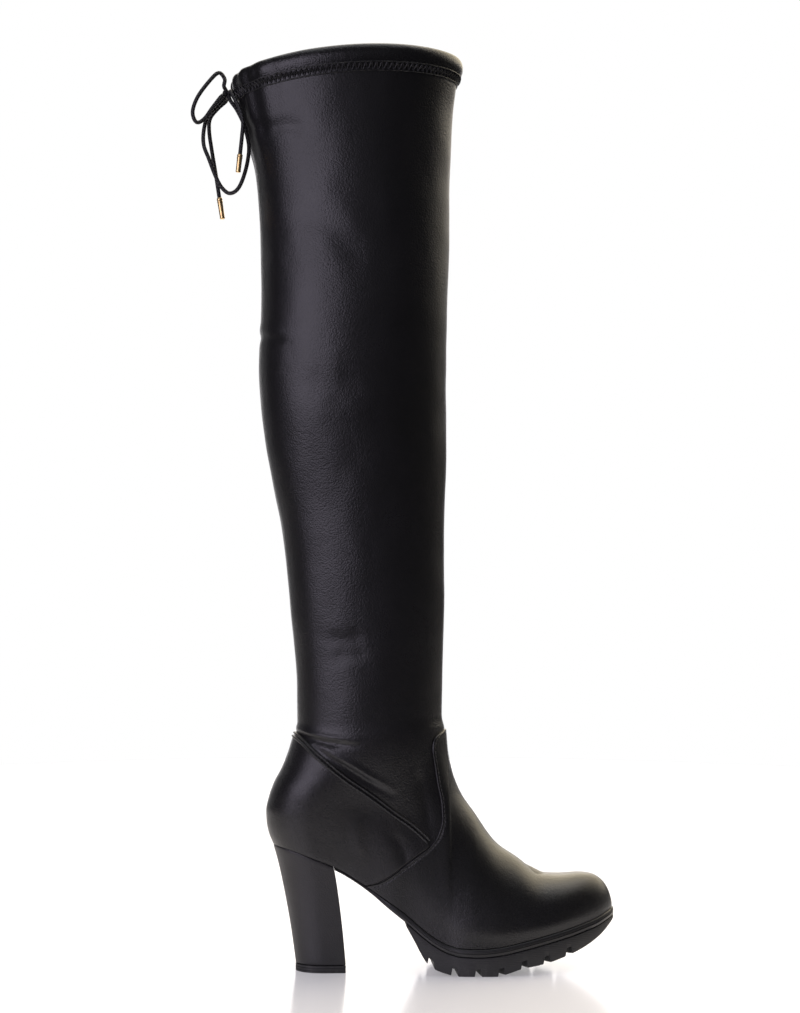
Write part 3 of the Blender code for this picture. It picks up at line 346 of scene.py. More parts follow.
def shaft_ring(up, side):
    front_x = SHAFT_AXIS_X + CALF_DEPTH * curve(SHAFT, "front", up)
    back_x = SHAFT_AXIS_X - CALF_DEPTH * curve(SHAFT, "back", up)
    half = shaft_half(SHARES, 0.5 * CALF_WIDTH * curve(SHAFT, "half", up), curve(SHAFT, "full", up))
    lean = 0.5 * CALF_WIDTH * curve(SHAFT, "lean", up)
    front_z = ANKLE_FRONT_HEIGHT + up * (COLLAR_FRONT_HEIGHT - ANKLE_FRONT_HEIGHT)
    back_z = ANKLE_BACK_HEIGHT + up * (COLLAR_BACK_HEIGHT - ANKLE_BACK_HEIGHT)
    arch = COLLAR_ARCH * up ** 8 * np.sin(np.pi * SHARES)
    return np.stack((back_x + SHARES * (front_x - back_x), lean + side * half,
                     back_z + SHARES * (front_z - back_z) + arch), axis=1)


def even_spread(points, count):
    """The same line with points spread by length and by turning."""
    steps = np.diff(points, axis=0)
    length = np.linalg.norm(steps, axis=1)
    heading = steps / np.maximum(length[:, None], 1e-9)
    turn = np.arccos(np.clip(np.sum(heading[1:] * heading[:-1], axis=1), -1.0, 1.0))
    turn = np.concatenate(([max(0.5 * math.pi - 0.5 * turn.sum(), 0.0)], turn))
    weight = length + 0.4 * HEEL_ROUND * np.clip(turn, 0.0, 0.2)
    place = np.concatenate(([0.0], np.cumsum(weight)))
    wanted = np.linspace(0.0, place[-1], count + 1)
    return np.stack([np.interp(wanted, place, points[:, k]) for k in range(3)], axis=1)


def closed_ring(outer, inner):
    half = COLUMNS // 2
    return np.concatenate((even_spread(outer, half)[:-1], even_spread(inner, half)[::-1][:-1]))


def foot_fronts():
    """Where the foot's rings cross the ridge, evenly spread over heel and instep."""
    fronts = np.linspace(TIP_X, ANKLE_FRONT_X, 3000)
    levels = ring_level(fronts)
    levels[0] = 0.0
    ridge = np.stack((fronts, bottom_height(fronts) + ridge_rise(fronts)), axis=1)
    back = np.stack((ring_back_x(levels), levels * (ANKLE_BACK_HEIGHT - SEAT_BACK_HEIGHT)), axis=1)
    step = (np.linalg.norm(np.diff(ridge, axis=0), axis=1)
            + np.linalg.norm(np.diff(back, axis=0), axis=1))
    place = np.concatenate(([0.0], np.cumsum(step)))
    wanted = np.linspace(0.0, place[-1], FOOT_ROWS + 1)
    return np.interp(wanted, place, fronts), np.interp(wanted, place, levels)


def base_grid():
    """Rings of the upper with the level of each: 0 feather line, 1 ankle, more above."""
    fronts, levels = foot_fronts()
    rings = [closed_ring(foot_ring(f, v, -1), foot_ring(f, v, 1)) for f, v in zip(fronts, levels)]
    ups = np.linspace(0.0, 1.0, SHAFT_ROWS + 1)[1:]
    ups = ANKLE_FINE * ups + (1.0 - ANKLE_FINE) * ups ** 2
    rings += [closed_ring(shaft_ring(up, -1), shaft_ring(up, 1)) for up in ups]
    return np.array(rings), np.concatenate((levels, 1.0 + ups * SHAFT_LEVELS))


def grid_normals(grid):
    around = np.roll(grid, -1, axis=1) - np.roll(grid, 1, axis=1)
    normals = np.cross(around, np.gradient(grid, axis=0))
    normals[0, :, 2] = 0.0
    return normals / np.maximum(np.linalg.norm(normals, axis=2, keepdims=True), 1e-12)


# Creases, placed on the side view: x and z in metres.
# side: -1 outer, 1 inner, 0 both. depth under 0 is a ridge. width: half width.
Crease = namedtuple("Crease", "side width depth path")
CREASES = (
    Crease(0, 0.0022, -0.0010, ((-0.0930, 0.1680), (-0.0795, 0.1632), (-0.0659, 0.1606),
                                (-0.0480, 0.1588))),
    Crease(0, 0.0024, 0.0014, ((-0.0930, 0.1642), (-0.0795, 0.1597), (-0.0659, 0.1570),
                               (-0.0480, 0.1552))),
    Crease(-1, 0.0022, -0.0009, ((-0.0760, 0.1572), (-0.0621, 0.1484), (-0.0493, 0.1411),
                                 (-0.0384, 0.1341), (-0.0228, 0.1256))),
    Crease(-1, 0.0026, 0.0014, ((-0.0760, 0.1536), (-0.0630, 0.1448), (-0.0505, 0.1374),
                                (-0.0396, 0.1304), (-0.0240, 0.1218))),
    Crease(1, 0.0050, 0.0013, ((-0.0740, 0.1500), (-0.0500, 0.1400), (-0.0260, 0.1220))),
    Crease(1, 0.0048, -0.0009, ((-0.0620, 0.1560), (-0.0380, 0.1460), (-0.0120, 0.1320))),
    Crease(-1, 0.0040, 0.0011, ((-0.0050, 0.1420), (-0.0015, 0.1200), (0.0020, 0.0960))),
    Crease(1, 0.0042, 0.0010, ((-0.0060, 0.1440), (-0.0030, 0.1220), (0.0010, 0.1000))),
    Crease(-1, 0.0036, 0.0007, ((-0.0240, 0.0980), (-0.0170, 0.0860), (-0.0130, 0.0720))),
    Crease(1, 0.0036, 0.0007, ((-0.0260, 0.0960), (-0.0200, 0.0860), (-0.0150, 0.0740))),
    Crease(0, 0.0030, -0.0004, ((-0.0490, 0.1090), (-0.0470, 0.0930), (-0.0440, 0.0780))),
    Crease(-1, 0.0060, 0.0008, ((-0.0720, 0.2290), (-0.0560, 0.2270), (-0.0400, 0.2300))),
    Crease(-1, 0.0060, 0.0007, ((-0.0680, 0.2150), (-0.0520, 0.2170), (-0.0380, 0.2200))),
    Crease(1, 0.0060, 0.0008, ((-0.0740, 0.2240), (-0.0560, 0.2260), (-0.0420, 0.2230))),
    Crease(-1, 0.0042, 0.0013, ((-0.1290, 0.5850), (-0.1190, 0.5810), (-0.1060, 0.5780))),
    Crease(-1, 0.0050, 0.0012, ((-0.1130, 0.5790), (-0.0960, 0.5790), (-0.0820, 0.5750))),
    Crease(1, 0.0046, 0.0013, ((-0.1290, 0.5860), (-0.1160, 0.5800), (-0.0960, 0.5770))),
    Crease(0, 0.0034, 0.0010, ((-0.1190, 0.4420), (-0.1080, 0.4340), (-0.0960, 0.4310))),
    Crease(0, 0.0030, -0.0006, ((-0.1190, 0.4465), (-0.1080, 0.4388), (-0.0960, 0.4352))),
    Crease(-1, 0.0110, 0.0010, ((-0.0980, 0.5250), (-0.0640, 0.5080), (-0.0420, 0.4780))),
    Crease(-1, 0.0120, 0.0008, ((-0.0920, 0.4080), (-0.0620, 0.3960), (-0.0420, 0.4060))),
    Crease(1, 0.0120, 0.0010, ((-0.0980, 0.5100), (-0.0660, 0.4980), (-0.0420, 0.4720))),
    Crease(1, 0.0120, 0.0008, ((-0.0880, 0.3780), (-0.0600, 0.3700), (-0.0380, 0.3800))),
)


def crease_relief(points):
    """How far each point lies under (or over) the plain surface."""
    flat = points.reshape(-1, 3)
    relief = np.zeros(len(flat))
    for crease in CREASES:
        path = np.array(crease.path)
        best = np.full(len(flat), 1e9)
        share = np.zeros(len(flat))
        for k in range(len(path) - 1):
            a, b = path[k], path[k + 1]
            way = b - a
            reach = (flat[:, 0] - a[0]) * way[0] + (flat[:, 2] - a[1]) * way[1]
            t = np.clip(reach / (way @ way), 0.0, 1.0)
            away = np.hypot(flat[:, 0] - a[0] - t * way[0], flat[:, 2] - a[1] - t * way[1])
            nearer = away < best
            best[nearer] = away[nearer]
            share[nearer] = ((k + t) / (len(path) - 1))[nearer]
        fade = smooth_step(0.0, 0.3, share) * (1.0 - smooth_step(0.7, 1.0, share))
        side = 1.0 if crease.side == 0 else smooth_step(-0.006, 0.006, crease.side * flat[:, 1])
        relief -= crease.depth * (0.25 + 0.75 * fade) * side * np.exp(-(best / crease.width) ** 2)
    return relief.reshape(points.shape[:-1])


def drape_relief(points):
    """Slow unevenness of thin leather over a stuffed leg, and gathers under the bow."""
    flat = points.reshape(-1, 3)
    relief = np.empty(len(flat))
    for k, p in enumerate(flat):
        slow = noise.noise(Vector((p[0] * 26.0, p[1] * 26.0, p[2] * 17.0 + 4.0)))
        quick = noise.noise(Vector((p[0] * 70.0 + 9.0, p[1] * 70.0, p[2] * 48.0)))
        relief[k] = 0.00075 * slow + 0.00022 * quick
    shaft = smooth_step(0.12, 0.20, flat[:, 2])
    behind = smooth_step(-0.095, -0.125, flat[:, 0]) * smooth_step(0.545, 0.600, flat[:, 2])
    gathers = 0.0008 * np.sin(flat[:, 1] / 0.0021) * behind
    return (relief * (0.35 + 0.65 * shaft) + gathers).reshape(points.shape[:-1])


def evened(grid):
    """The same surface with the kinks between the tables' rows taken out."""
    grid = grid.copy()
    for strength in EVENING_PULLS * EVENING_ROUNDS:
        pull = np.zeros_like(grid)
        pull[1:-1] += grid[:-2] + grid[2:] - 2.0 * grid[1:-1]
        around = np.roll(grid, 1, axis=1) + np.roll(grid, -1, axis=1)
        pull[1:-1] += around[1:-1] - 2.0 * grid[1:-1]
        grid += strength * pull
    return grid


GRID, LEVELS = base_grid()
GRID = evened(GRID)
LOW_FADE = smooth_step(0.02, 0.10, LEVELS)[:, None]
PLAIN_NORMALS = grid_normals(GRID)
relief = (crease_relief(GRID) + drape_relief(GRID)) * LOW_FADE
GRID = GRID + relief[:, :, None] * PLAIN_NORMALS
NORMALS = grid_normals(GRID)
ANKLE_ROW = FOOT_ROWS


def sample(array, rows, columns):
    """Values of a grid at rows and columns that may be fractions."""
    rows = np.clip(rows, 0.0, len(array) - 1.000001)
    r, c = np.floor(rows).astype(int), np.floor(columns).astype(int)
    u, v = (rows - r)[..., None], (columns - c)[..., None]
    c0, c1 = c % COLUMNS, (c + 1) % COLUMNS
    return ((1 - u) * ((1 - v) * array[r, c0] + v * array[r, c1])
            + u * ((1 - v) * array[r + 1, c0] + v * array[r + 1, c1]))


def row_at(level):
    return np.interp(level, LEVELS, np.arange(len(LEVELS)))


def column_at(row, x, side):
    """Signed column, negative on the inner side, where a ring passes over x."""
    half = COLUMNS // 2
    columns = np.arange(half + 1)
    line = sample(GRID, np.full(half + 1, float(row)), -side * columns)[:, 0]
    line = np.maximum.accumulate(line)
    return -side * np.interp(x, line, columns)


# Meshes

ROOT = "root"


def add_mesh(name, points, faces, look, slot, smooth_angle=40.0):
    mesh = bpy.data.meshes.new(name)
    mesh.from_pydata([tuple(p) for p in points], [], [tuple(int(i) for i in f) for f in faces])
    mesh.validate()
    mesh.shade_smooth()
    mesh.set_sharp_from_angle(angle=math.radians(smooth_angle))
    mesh.materials.append(look)
    made = bpy.data.objects.new(name, mesh)
    bpy.context.scene.collection.objects.link(made)
    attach(made, ROOT)
    return made


def lattice(rows, columns, start=0, closed=False):
    """Quads of a grid of points, row by row, outward where rows rise and columns go round."""
    last = columns if closed else columns - 1
    r, c = np.meshgrid(np.arange(rows - 1), np.arange(last), indexing="ij")
    d = (c + 1) % columns
    low, high = r * columns, (r + 1) * columns
    quads = np.stack((low + c, low + d, high + d, high + c), axis=-1)
    return start + quads.reshape(-1, 4)


def closed_loop(rings):
    """Points and faces of closed rings, the last of which joins the first again."""
    count, around = rings.shape[:2]
    c = np.arange(around)
    d = (c + 1) % around
    last = (count - 1) * around
    seam = np.stack((last + c, last + d, d, c), axis=-1)
    return rings.reshape(-1, 3), np.concatenate((lattice(count, around, closed=True), seam))


def end_caps(count, around):
    """Faces that close both ends of a row of rings."""
    return [tuple(range(around - 1, -1, -1)),
            tuple((count - 1) * around + k for k in range(around))]


def shell(outer, inner):
    """Closed solid between two grids of the same shape."""
    rows, columns = outer.shape[:2]
    points = np.concatenate((outer.reshape(-1, 3), inner.reshape(-1, 3)))
    start = rows * columns
    front = lattice(rows, columns)
    back = lattice(rows, columns, start)[:, ::-1]
    rim = [(0, c) for c in range(columns)] + [(r, columns - 1) for r in range(1, rows)]
    rim += [(rows - 1, c) for c in range(columns - 2, -1, -1)]
    rim += [(r, 0) for r in range(rows - 2, 0, -1)]
    index = np.array([r * columns + c for r, c in rim])
    after = np.roll(index, -1)
    edge = np.stack((after, index, index + start, after + start), axis=-1)
    return points, np.concatenate((front, back, edge))


def tube(path, radius, sides=8, closed=False):
    """Round tube along a path."""
    path = np.asarray(path, float)
    if closed:
        heading = np.roll(path, -1, axis=0) - np.roll(path, 1, axis=0)
    else:
        heading = np.gradient(path, axis=0)
    heading /= np.maximum(np.linalg.norm(heading, axis=1, keepdims=True), 1e-12)
    frames = [np.array(Vector(heading[0]).orthogonal().normalized())]
    for k in range(1, len(path)):
        side = frames[-1] - heading[k] * (frames[-1] @ heading[k])
        frames.append(side / np.linalg.norm(side))
    up = np.array(frames)
    across = np.cross(heading, up)
    across /= np.maximum(np.linalg.norm(across, axis=1, keepdims=True), 1e-12)
    radius = np.broadcast_to(radius, (len(path),))[:, None, None]
    turn = 2.0 * np.pi * np.arange(sides) / sides
    ring = (np.cos(turn)[None, :, None] * across[:, None, :]
            + np.sin(turn)[None, :, None] * up[:, None, :])
    points = (path[:, None, :] + radius * ring).reshape(-1, 3)
    count = len(path)
    faces = [tuple(q) for q in lattice(count, sides, closed=True)[:, ::-1]]
    if closed:
        last = (count - 1) * sides
        faces += [(k, (k + 1) % sides, last + (k + 1) % sides, last + k) for k in range(sides)]
    else:
        faces.append(tuple(range(sides)))
        faces.append(tuple((count - 1) * sides + k for k in range(sides - 1, -1, -1)))
    return points, faces


def joined(parts):
    """One set of points and faces from several."""
    points, faces, start = [], [], 0
    for part_points, part_faces in parts:
        points.append(part_points)
        faces += [tuple(int(i) + start for i in face) for face in part_faces]
        start += len(part_points)
    return np.concatenate(points), faces


# Node groups shared by the materials

def new_group(name, inputs, outputs):
    """A shader node group with float inputs and the outputs given as (name, socket)."""
    group = bpy.data.node_groups.new(name, "ShaderNodeTree")
    for label, value in inputs:
        socket = group.interface.new_socket(label, in_out="INPUT", socket_type="NodeSocketFloat")
        socket.default_value = value
    for label, kind in outputs:
        group.interface.new_socket(label, in_out="OUTPUT", socket_type=kind)
    return group, group.nodes.new("NodeGroupInput"), group.nodes.new("NodeGroupOutput")


class Tree:
    """Short ways to add and link nodes."""

    def __init__(self, tree):
        self.tree = tree

    def add(self, kind, **settings):
        node = self.tree.nodes.new(kind)
        for key, value in settings.items():
            setattr(node, key, value)
        return node

    def link(self, source, target):
        self.tree.links.new(source, target)

    def math(self, operation, first, second=None, third=None):
        node = self.add("ShaderNodeMath", operation=operation)
        for k, value in enumerate((first, second, third)):
            if value is None:
                continue
            if isinstance(value, (int, float)):
                node.inputs[k].default_value = value
            else:
                self.link(value, node.inputs[k])
        return node.outputs[0]

    def noise(self, vector, scale, detail=3.0, rough=0.55):
        node = self.add("ShaderNodeTexNoise")
        node.inputs["Detail"].default_value = detail
        node.inputs["Roughness"].default_value = rough
        self.link(vector, node.inputs["Vector"])
        if isinstance(scale, (int, float)):
            node.inputs["Scale"].default_value = scale
        else:
            self.link(scale, node.inputs["Scale"])
        return node.outputs["Fac"]

    def ramp(self, value, low, high, to_low=0.0, to_high=1.0):
        node = self.add("ShaderNodeMapRange", interpolation_type="SMOOTHSTEP")
        for k, number in enumerate((value, low, high, to_low, to_high)):
            if isinstance(number, (int, float)):
                node.inputs[k].default_value = number
            else:
                self.link(number, node.inputs[k])
        return node.outputs[0]


def grain_group():
    """Height of fine leather grain: pebbles, pores and slow unevenness."""
    group, given, out = new_group(
        "leather grain",
        (("Cells per metre", 900.0), ("Pebble", 1.0), ("Pores", 0.4), ("Slow", 0.5)),
        (("Height", "NodeSocketFloat"), ("Speckle", "NodeSocketFloat")))
    t = Tree(group)
    place = t.add("ShaderNodeTexCoord").outputs["Object"]
    cells = t.add("ShaderNodeTexVoronoi", feature="SMOOTH_F1")
    cells.inputs["Smoothness"].default_value = 0.45
    t.link(place, cells.inputs["Vector"])
    t.link(given.outputs["Cells per metre"], cells.inputs["Scale"])
    pebble = t.math("MULTIPLY", cells.outputs["Distance"], given.outputs["Pebble"])
    fine_scale = t.math("MULTIPLY", given.outputs["Cells per metre"], 2.7)
    fine = t.noise(place, fine_scale, 2.0)
    pores = t.math("MULTIPLY", fine, given.outputs["Pores"])
    slow = t.math("MULTIPLY", t.noise(place, 160.0, 2.0), given.outputs["Slow"])
    height = t.math("ADD", t.math("SUBTRACT", pores, pebble), slow)
    t.link(height, out.inputs["Height"])
    t.link(t.ramp(fine, 0.35, 0.70), out.inputs["Speckle"])
    return group


def wear_group():
    """Mask of faint rub marks and dust, stronger near the floor."""
    group, given, out = new_group(
        "rub marks", (("Scale", 60.0), ("Amount", 0.3), ("Floor reach", 0.03)),
        (("Mask", "NodeSocketFloat"), ("Dust", "NodeSocketFloat")))
    t = Tree(group)
    place = t.add("ShaderNodeTexCoord").outputs["Object"]
    stretch = t.add("ShaderNodeMapping")
    stretch.inputs["Scale"].default_value = (1.0, 1.0, 0.35)
    t.link(place, stretch.inputs["Vector"])
    marks = t.ramp(t.noise(stretch.outputs[0], given.outputs["Scale"], 6.0, 0.65), 0.54, 0.78)
    t.link(t.math("MULTIPLY", marks, given.outputs["Amount"]), out.inputs["Mask"])
    height = t.add("ShaderNodeSeparateXYZ")
    t.link(place, height.inputs[0])
    low = t.ramp(height.outputs["Z"], given.outputs["Floor reach"], 0.0)
    t.link(t.math("MULTIPLY", low, marks), out.inputs["Dust"])
    return group


GRAIN = grain_group()
WEAR = wear_group()


def blend_colour(t, fac, first, second):
    node = t.add("ShaderNodeMix", data_type="RGBA")
    t.link(fac, node.inputs["Factor"])
    for socket, value in ((node.inputs["A"], first), (node.inputs["B"], second)):
        if isinstance(value, tuple):
            socket.default_value = (*value, 1.0)
        else:
            t.link(value, socket)
    return node.outputs["Result"]


def new_material(name):
    made = bpy.data.materials.new(name)
    made.use_nodes = True
    return made, Tree(made.node_tree), made.node_tree.nodes["Principled BSDF"]


def add_bump(t, shader, height, distance, strength=1.0):
    bump = t.add("ShaderNodeBump")
    bump.inputs["Strength"].default_value = strength
    bump.inputs["Distance"].default_value = distance
    t.link(height, bump.inputs["Height"])
    t.link(bump.outputs["Normal"], shader.inputs["Normal"])


def leather(name, dark, light, rough, cells=900.0, pebble=0.8, slow=0.5, depth=0.00017,
            speckle=0.08, wear=0.25):
    """Coated leather: fine grain in the bump, speckle and rub marks in gloss, a slow cloud in
    colour.
    """
    made, t, shader = new_material(name)
    grain = t.add("ShaderNodeGroup", node_tree=GRAIN)
    for label, value in (("Cells per metre", cells), ("Pebble", pebble), ("Slow", slow)):
        grain.inputs[label].default_value = value
    rub = t.add("ShaderNodeGroup", node_tree=WEAR)
    rub.inputs["Amount"].default_value = wear
    place = t.add("ShaderNodeTexCoord").outputs["Object"]
    cloud = t.ramp(t.noise(place, 22.0, 3.0), 0.3, 0.7)
    t.link(blend_colour(t, cloud, dark, light), shader.inputs["Base Color"])
    gloss = t.math("MULTIPLY_ADD", grain.outputs["Speckle"], speckle, rough)
    gloss = t.math("MULTIPLY_ADD", rub.outputs["Mask"], 0.18, gloss)
    t.link(t.math("MULTIPLY_ADD", cloud, -0.03, gloss), shader.inputs["Roughness"])
    add_bump(t, shader, grain.outputs["Height"], depth)
    return made


def rubber(name, dark, light, rough, cells=1500.0, depth=0.00006, dust=0.35, ribs=0.0):
    """Moulded rubber with a dull skin, dust low down and, if asked, fine moulding lines."""
    made, t, shader = new_material(name)
    grain = t.add("ShaderNodeGroup", node_tree=GRAIN)
    grain.inputs["Cells per metre"].default_value = cells
    grain.inputs["Pebble"].default_value = 0.5
    rub = t.add("ShaderNodeGroup", node_tree=WEAR)
    rub.inputs["Amount"].default_value = dust
    rub.inputs["Floor reach"].default_value = 0.012
    body = blend_colour(t, rub.outputs["Mask"], dark, light)
    dusty = t.math("MULTIPLY", rub.outputs["Dust"], 0.35)
    t.link(blend_colour(t, dusty, body, (0.16, 0.155, 0.15)), shader.inputs["Base Color"])
    t.link(t.math("MULTIPLY_ADD", rub.outputs["Mask"], 0.25, rough), shader.inputs["Roughness"])
    height = grain.outputs["Height"]
    if ribs:
        place = t.add("ShaderNodeTexCoord").outputs["Object"]
        wave = t.add("ShaderNodeTexWave", wave_type="BANDS", bands_direction="Z",
                     wave_profile="SIN")
        wave.inputs["Scale"].default_value = ribs
        t.link(place, wave.inputs["Vector"])
        height = t.math("MULTIPLY_ADD", wave.outputs["Fac"], 1.2, height)
    add_bump(t, shader, height, depth)
    return made


def braid(name, colour, painted_glint, rough, turns, repeats, depth):
    """Round braided cord or twisted thread, laid out by the tube's own UV map, with a painted
    highlight on the strands' crests.
    """
    made, t, shader = new_material(name)
    place = t.add("ShaderNodeUVMap").outputs["UV"]
    apart = t.add("ShaderNodeSeparateXYZ")
    t.link(place, apart.inputs[0])
    waves = []
    for sign in (1.0, -1.0):
        lean = t.math("MULTIPLY", apart.outputs["X"], sign * turns)
        phase = t.math("MULTIPLY_ADD", apart.outputs["Y"], repeats, lean)
        waves.append(t.math("SINE", t.math("MULTIPLY", phase, 2.0 * math.pi)))
    both = t.math("MAXIMUM", waves[0], waves[1])
    # painted highlight: the crests of the braid take the lighter glint colour
    t.link(blend_colour(t, t.ramp(both, -0.2, 1.0), colour, painted_glint), shader.inputs["Base Color"])
    t.link(t.ramp(both, -0.5, 1.0, rough + 0.15, rough), shader.inputs["Roughness"])
    add_bump(t, shader, both, depth)
    return made


def cloth(name, colour, painted_glint, threads, depth):
    """Plain woven cloth, with a painted highlight on the weave's crests."""
    made, t, shader = new_material(name)
    place = t.add("ShaderNodeTexCoord").outputs["Object"]
    apart = t.add("ShaderNodeSeparateXYZ")
    t.link(place, apart.inputs[0])
    around = t.math("ADD", apart.outputs["X"], apart.outputs["Y"])
    warp = t.math("SINE", t.math("MULTIPLY", around, threads))
    weft = t.math("SINE", t.math("MULTIPLY", apart.outputs["Z"], threads))
    weave = t.math("MULTIPLY", warp, weft)
    cloud = t.noise(place, 90.0, 4.0)
    # painted highlight: the weave's crests, mixed with a slow random cloud of tone, take the
    # lighter glint colour
    painted_glint_mask = t.ramp(t.math("MULTIPLY_ADD", weave, 0.4, cloud), 0.0, 1.0)
    t.link(blend_colour(t, painted_glint_mask, colour, painted_glint), shader.inputs["Base Color"])
    t.link(t.ramp(cloud, 0.2, 0.8, 0.85, 0.95), shader.inputs["Roughness"])
    add_bump(t, shader, weave, depth, strength=0.8)
    shader.inputs["Sheen Weight"].default_value = 0.25
    return made


def plated_metal(name, colour, worn, rough):
    made, t, shader = new_material(name)
    place = t.add("ShaderNodeTexCoord").outputs["Object"]
    marks = t.noise(place, 900.0, 4.0, 0.6)
    t.link(blend_colour(t, t.ramp(marks, 0.45, 0.75), colour, worn), shader.inputs["Base Color"])
    t.link(t.ramp(marks, 0.3, 0.8, rough, rough + 0.2), shader.inputs["Roughness"])
    shader.inputs["Metallic"].default_value = 1.0
    add_bump(t, shader, marks, 0.00003, strength=0.5)
    return made


SHAFT_LEATHER = leather("shaft leather", (0.0060, 0.0058, 0.0070), (0.0090, 0.0086, 0.0102), 0.30)
VAMP_LEATHER = leather("vamp leather", (0.0055, 0.0055, 0.0062), (0.0080, 0.0078, 0.0090), 0.28,
                       cells=1100.0, pebble=0.6, slow=0.8)
QUARTER_LEATHER = leather("quarter leather", (0.0062, 0.0060, 0.0070), (0.0095, 0.0090, 0.0105),
                          0.28, cells=1100.0, pebble=0.6, slow=0.9)
SEAM_LEATHER = leather("seam leather", (0.0055, 0.0055, 0.0062), (0.0080, 0.0078, 0.0088), 0.28,
                       slow=0.8)
CASING_LEATHER = leather("casing leather", (0.0058, 0.0057, 0.0066), (0.0085, 0.0082, 0.0095), 0.26,
                         slow=1.0)
HEEL_LEATHER = leather("heel cover leather", (0.0110, 0.0104, 0.0120), (0.0160, 0.0150, 0.0175),
                       0.38, cells=1200.0, pebble=0.6, slow=1.2, wear=0.5)
# the second colour of each cloth is a painted highlight on the crests of its weave
LINING_CLOTH = cloth("lining cloth", (0.020, 0.020, 0.022), (0.050, 0.050, 0.053), 5200.0, 0.00006)
SOCK_CLOTH = cloth("sock cloth", (0.024, 0.023, 0.024), (0.060, 0.058, 0.058), 3600.0, 0.00010)
MIDSOLE_RUBBER = rubber("midsole rubber", (0.012, 0.012, 0.013), (0.030, 0.030, 0.031), 0.36)
OUTSOLE_RUBBER = rubber("outsole rubber", (0.016, 0.016, 0.017), (0.045, 0.044, 0.043), 0.52,
                        ribs=260.0)
TOP_PIECE_RUBBER = rubber("top piece rubber", (0.014, 0.014, 0.015), (0.050, 0.048, 0.046), 0.55)
# the second colour of cord and thread is a painted highlight on the crests of the braid
CORD_BRAID = braid("waxed cord", (0.006, 0.006, 0.007), (0.022, 0.022, 0.025), 0.42, 3.0, 1.0,
                   0.00022)
THREAD_BLACK = braid("black thread", (0.010, 0.010, 0.011), (0.045, 0.044, 0.048), 0.28, 1.0,
                     1.0, 0.00005)
GOLD = plated_metal("pale gold plate", (0.86, 0.62, 0.30), (0.62, 0.42, 0.20), 0.20)


# Camera

CAMERA_PLACE = (-0.1171, -1.4465, 0.2500)
CAMERA_AIM = (-0.0160, 0.0, 0.3200)
LENS = 93.2


def add_camera():
    camera = bpy.data.objects.new("camera", bpy.data.cameras.new("camera"))
    bpy.context.scene.collection.objects.link(camera)
    camera.location = CAMERA_PLACE
    camera.rotation_mode = "QUATERNION"
    look = Vector(CAMERA_AIM) - Vector(CAMERA_PLACE)
    camera.rotation_quaternion = look.to_track_quat("-Z", "Y")
    camera.data.sensor_fit = "HORIZONTAL"
    camera.data.lens = LENS
    camera.data.clip_start = 0.05
    bpy.context.scene.camera = camera


add_camera()


# The bow: routes from the middle of the knot, as in the part

LOOP_A = (
    (-0.0020, -0.0030, 0.0038), (-0.0020, -0.0050, 0.0095), (-0.0060, -0.0070, 0.0133),
    (-0.0120, -0.0090, 0.0075), (-0.0205, -0.0115, -0.0050), (-0.0240, -0.0125, -0.0160),
    (-0.0213, -0.0115, -0.0230), (-0.0160, -0.0095, -0.0200), (-0.0103, -0.0075, -0.0115),
    (-0.0032, -0.0032, -0.0020),
)
LOOP_B = (
    (-0.0029, 0.0004, -0.0036), (-0.0088, -0.0008, -0.0105), (-0.0140, -0.0030, -0.0170),
    (-0.0165, -0.0050, -0.0280), (-0.0163, -0.0065, -0.0380), (-0.0128, -0.0078, -0.0475),
    (-0.0080, -0.0085, -0.0600), (-0.0037, -0.0090, -0.0680), (0.0020, -0.0110, -0.0725),
    (0.0082, -0.0140, -0.0690), (0.0130, -0.0170, -0.0570), (0.0152, -0.0180, -0.0430),
    (0.0136, -0.0175, -0.0320), (0.0108, -0.0160, -0.0230), (0.0065, -0.0115, -0.0135),
    (0.0026, -0.0068, -0.0070), (0.0012, -0.0032, -0.0034),
)
TAIL_A = (
    (-0.0009, 0.0036, -0.0028), (-0.0067, 0.0052, -0.0090), (-0.0122, 0.0044, -0.0165),
    (-0.0128, 0.0025, -0.0260), (-0.0108, 0.0010, -0.0404), (-0.0080, -0.0010, -0.0572),
    (-0.0054, -0.0020, -0.0740),
)
TAIL_B = (
    (0.0019, -0.0044, 0.0006), (0.0032, -0.0103, -0.0022), (0.0058, -0.0156, -0.0085),
    (0.0091, -0.0200, -0.0165), (0.0110, -0.0225, -0.0250), (0.0103, -0.0230, -0.0355),
    (0.0091, -0.0230, -0.0475),
)
KNOT_LOW, KNOT_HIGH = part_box("cord_knot")
KNOT_CENTRE = np.array([0.5 * (a + b) for a, b in zip(KNOT_LOW, KNOT_HIGH)])
CORD_INSET = 0.0012         # a cord starts this much inside the knot's ball
CORD_SPACING = 0.0014
GAP = 0.0003


def leave_knot(point):
    heading = np.array(point) / np.linalg.norm(point)
    reach = KNOT_RADIUS + GAP
    return [(reach - CORD_INSET) * heading, reach * heading, (reach + CORD_DIAMETER) * heading]


def cord_route(points):
    """Evenly spaced places on a smooth curve through points around the knot."""
    points = np.array(points)
    ends = np.concatenate(([2 * points[0] - points[1]], points, [2 * points[-1] - points[-2]]))
    fine = []
    for i in range(1, len(ends) - 2):
        a, b, c, d = ends[i - 1:i + 3]
        for t in np.arange(24) / 24:
            fine.append(0.5 * (2 * b + t * (c - a) + t * t * (2 * a - 5 * b + 4 * c - d)
                               + t ** 3 * (3 * b - a - 3 * c + d)))
    fine.append(points[-1])
    fine = np.array(fine) + KNOT_CENTRE
    place = np.concatenate(([0.0], np.cumsum(np.linalg.norm(np.diff(fine, axis=0), axis=1))))
    wanted = np.linspace(0.0, place[-1], max(int(round(place[-1] / CORD_SPACING)), 3) + 1)
    return np.stack([np.interp(wanted, place, fine[:, k]) for k in range(3)], axis=1), place[-1]


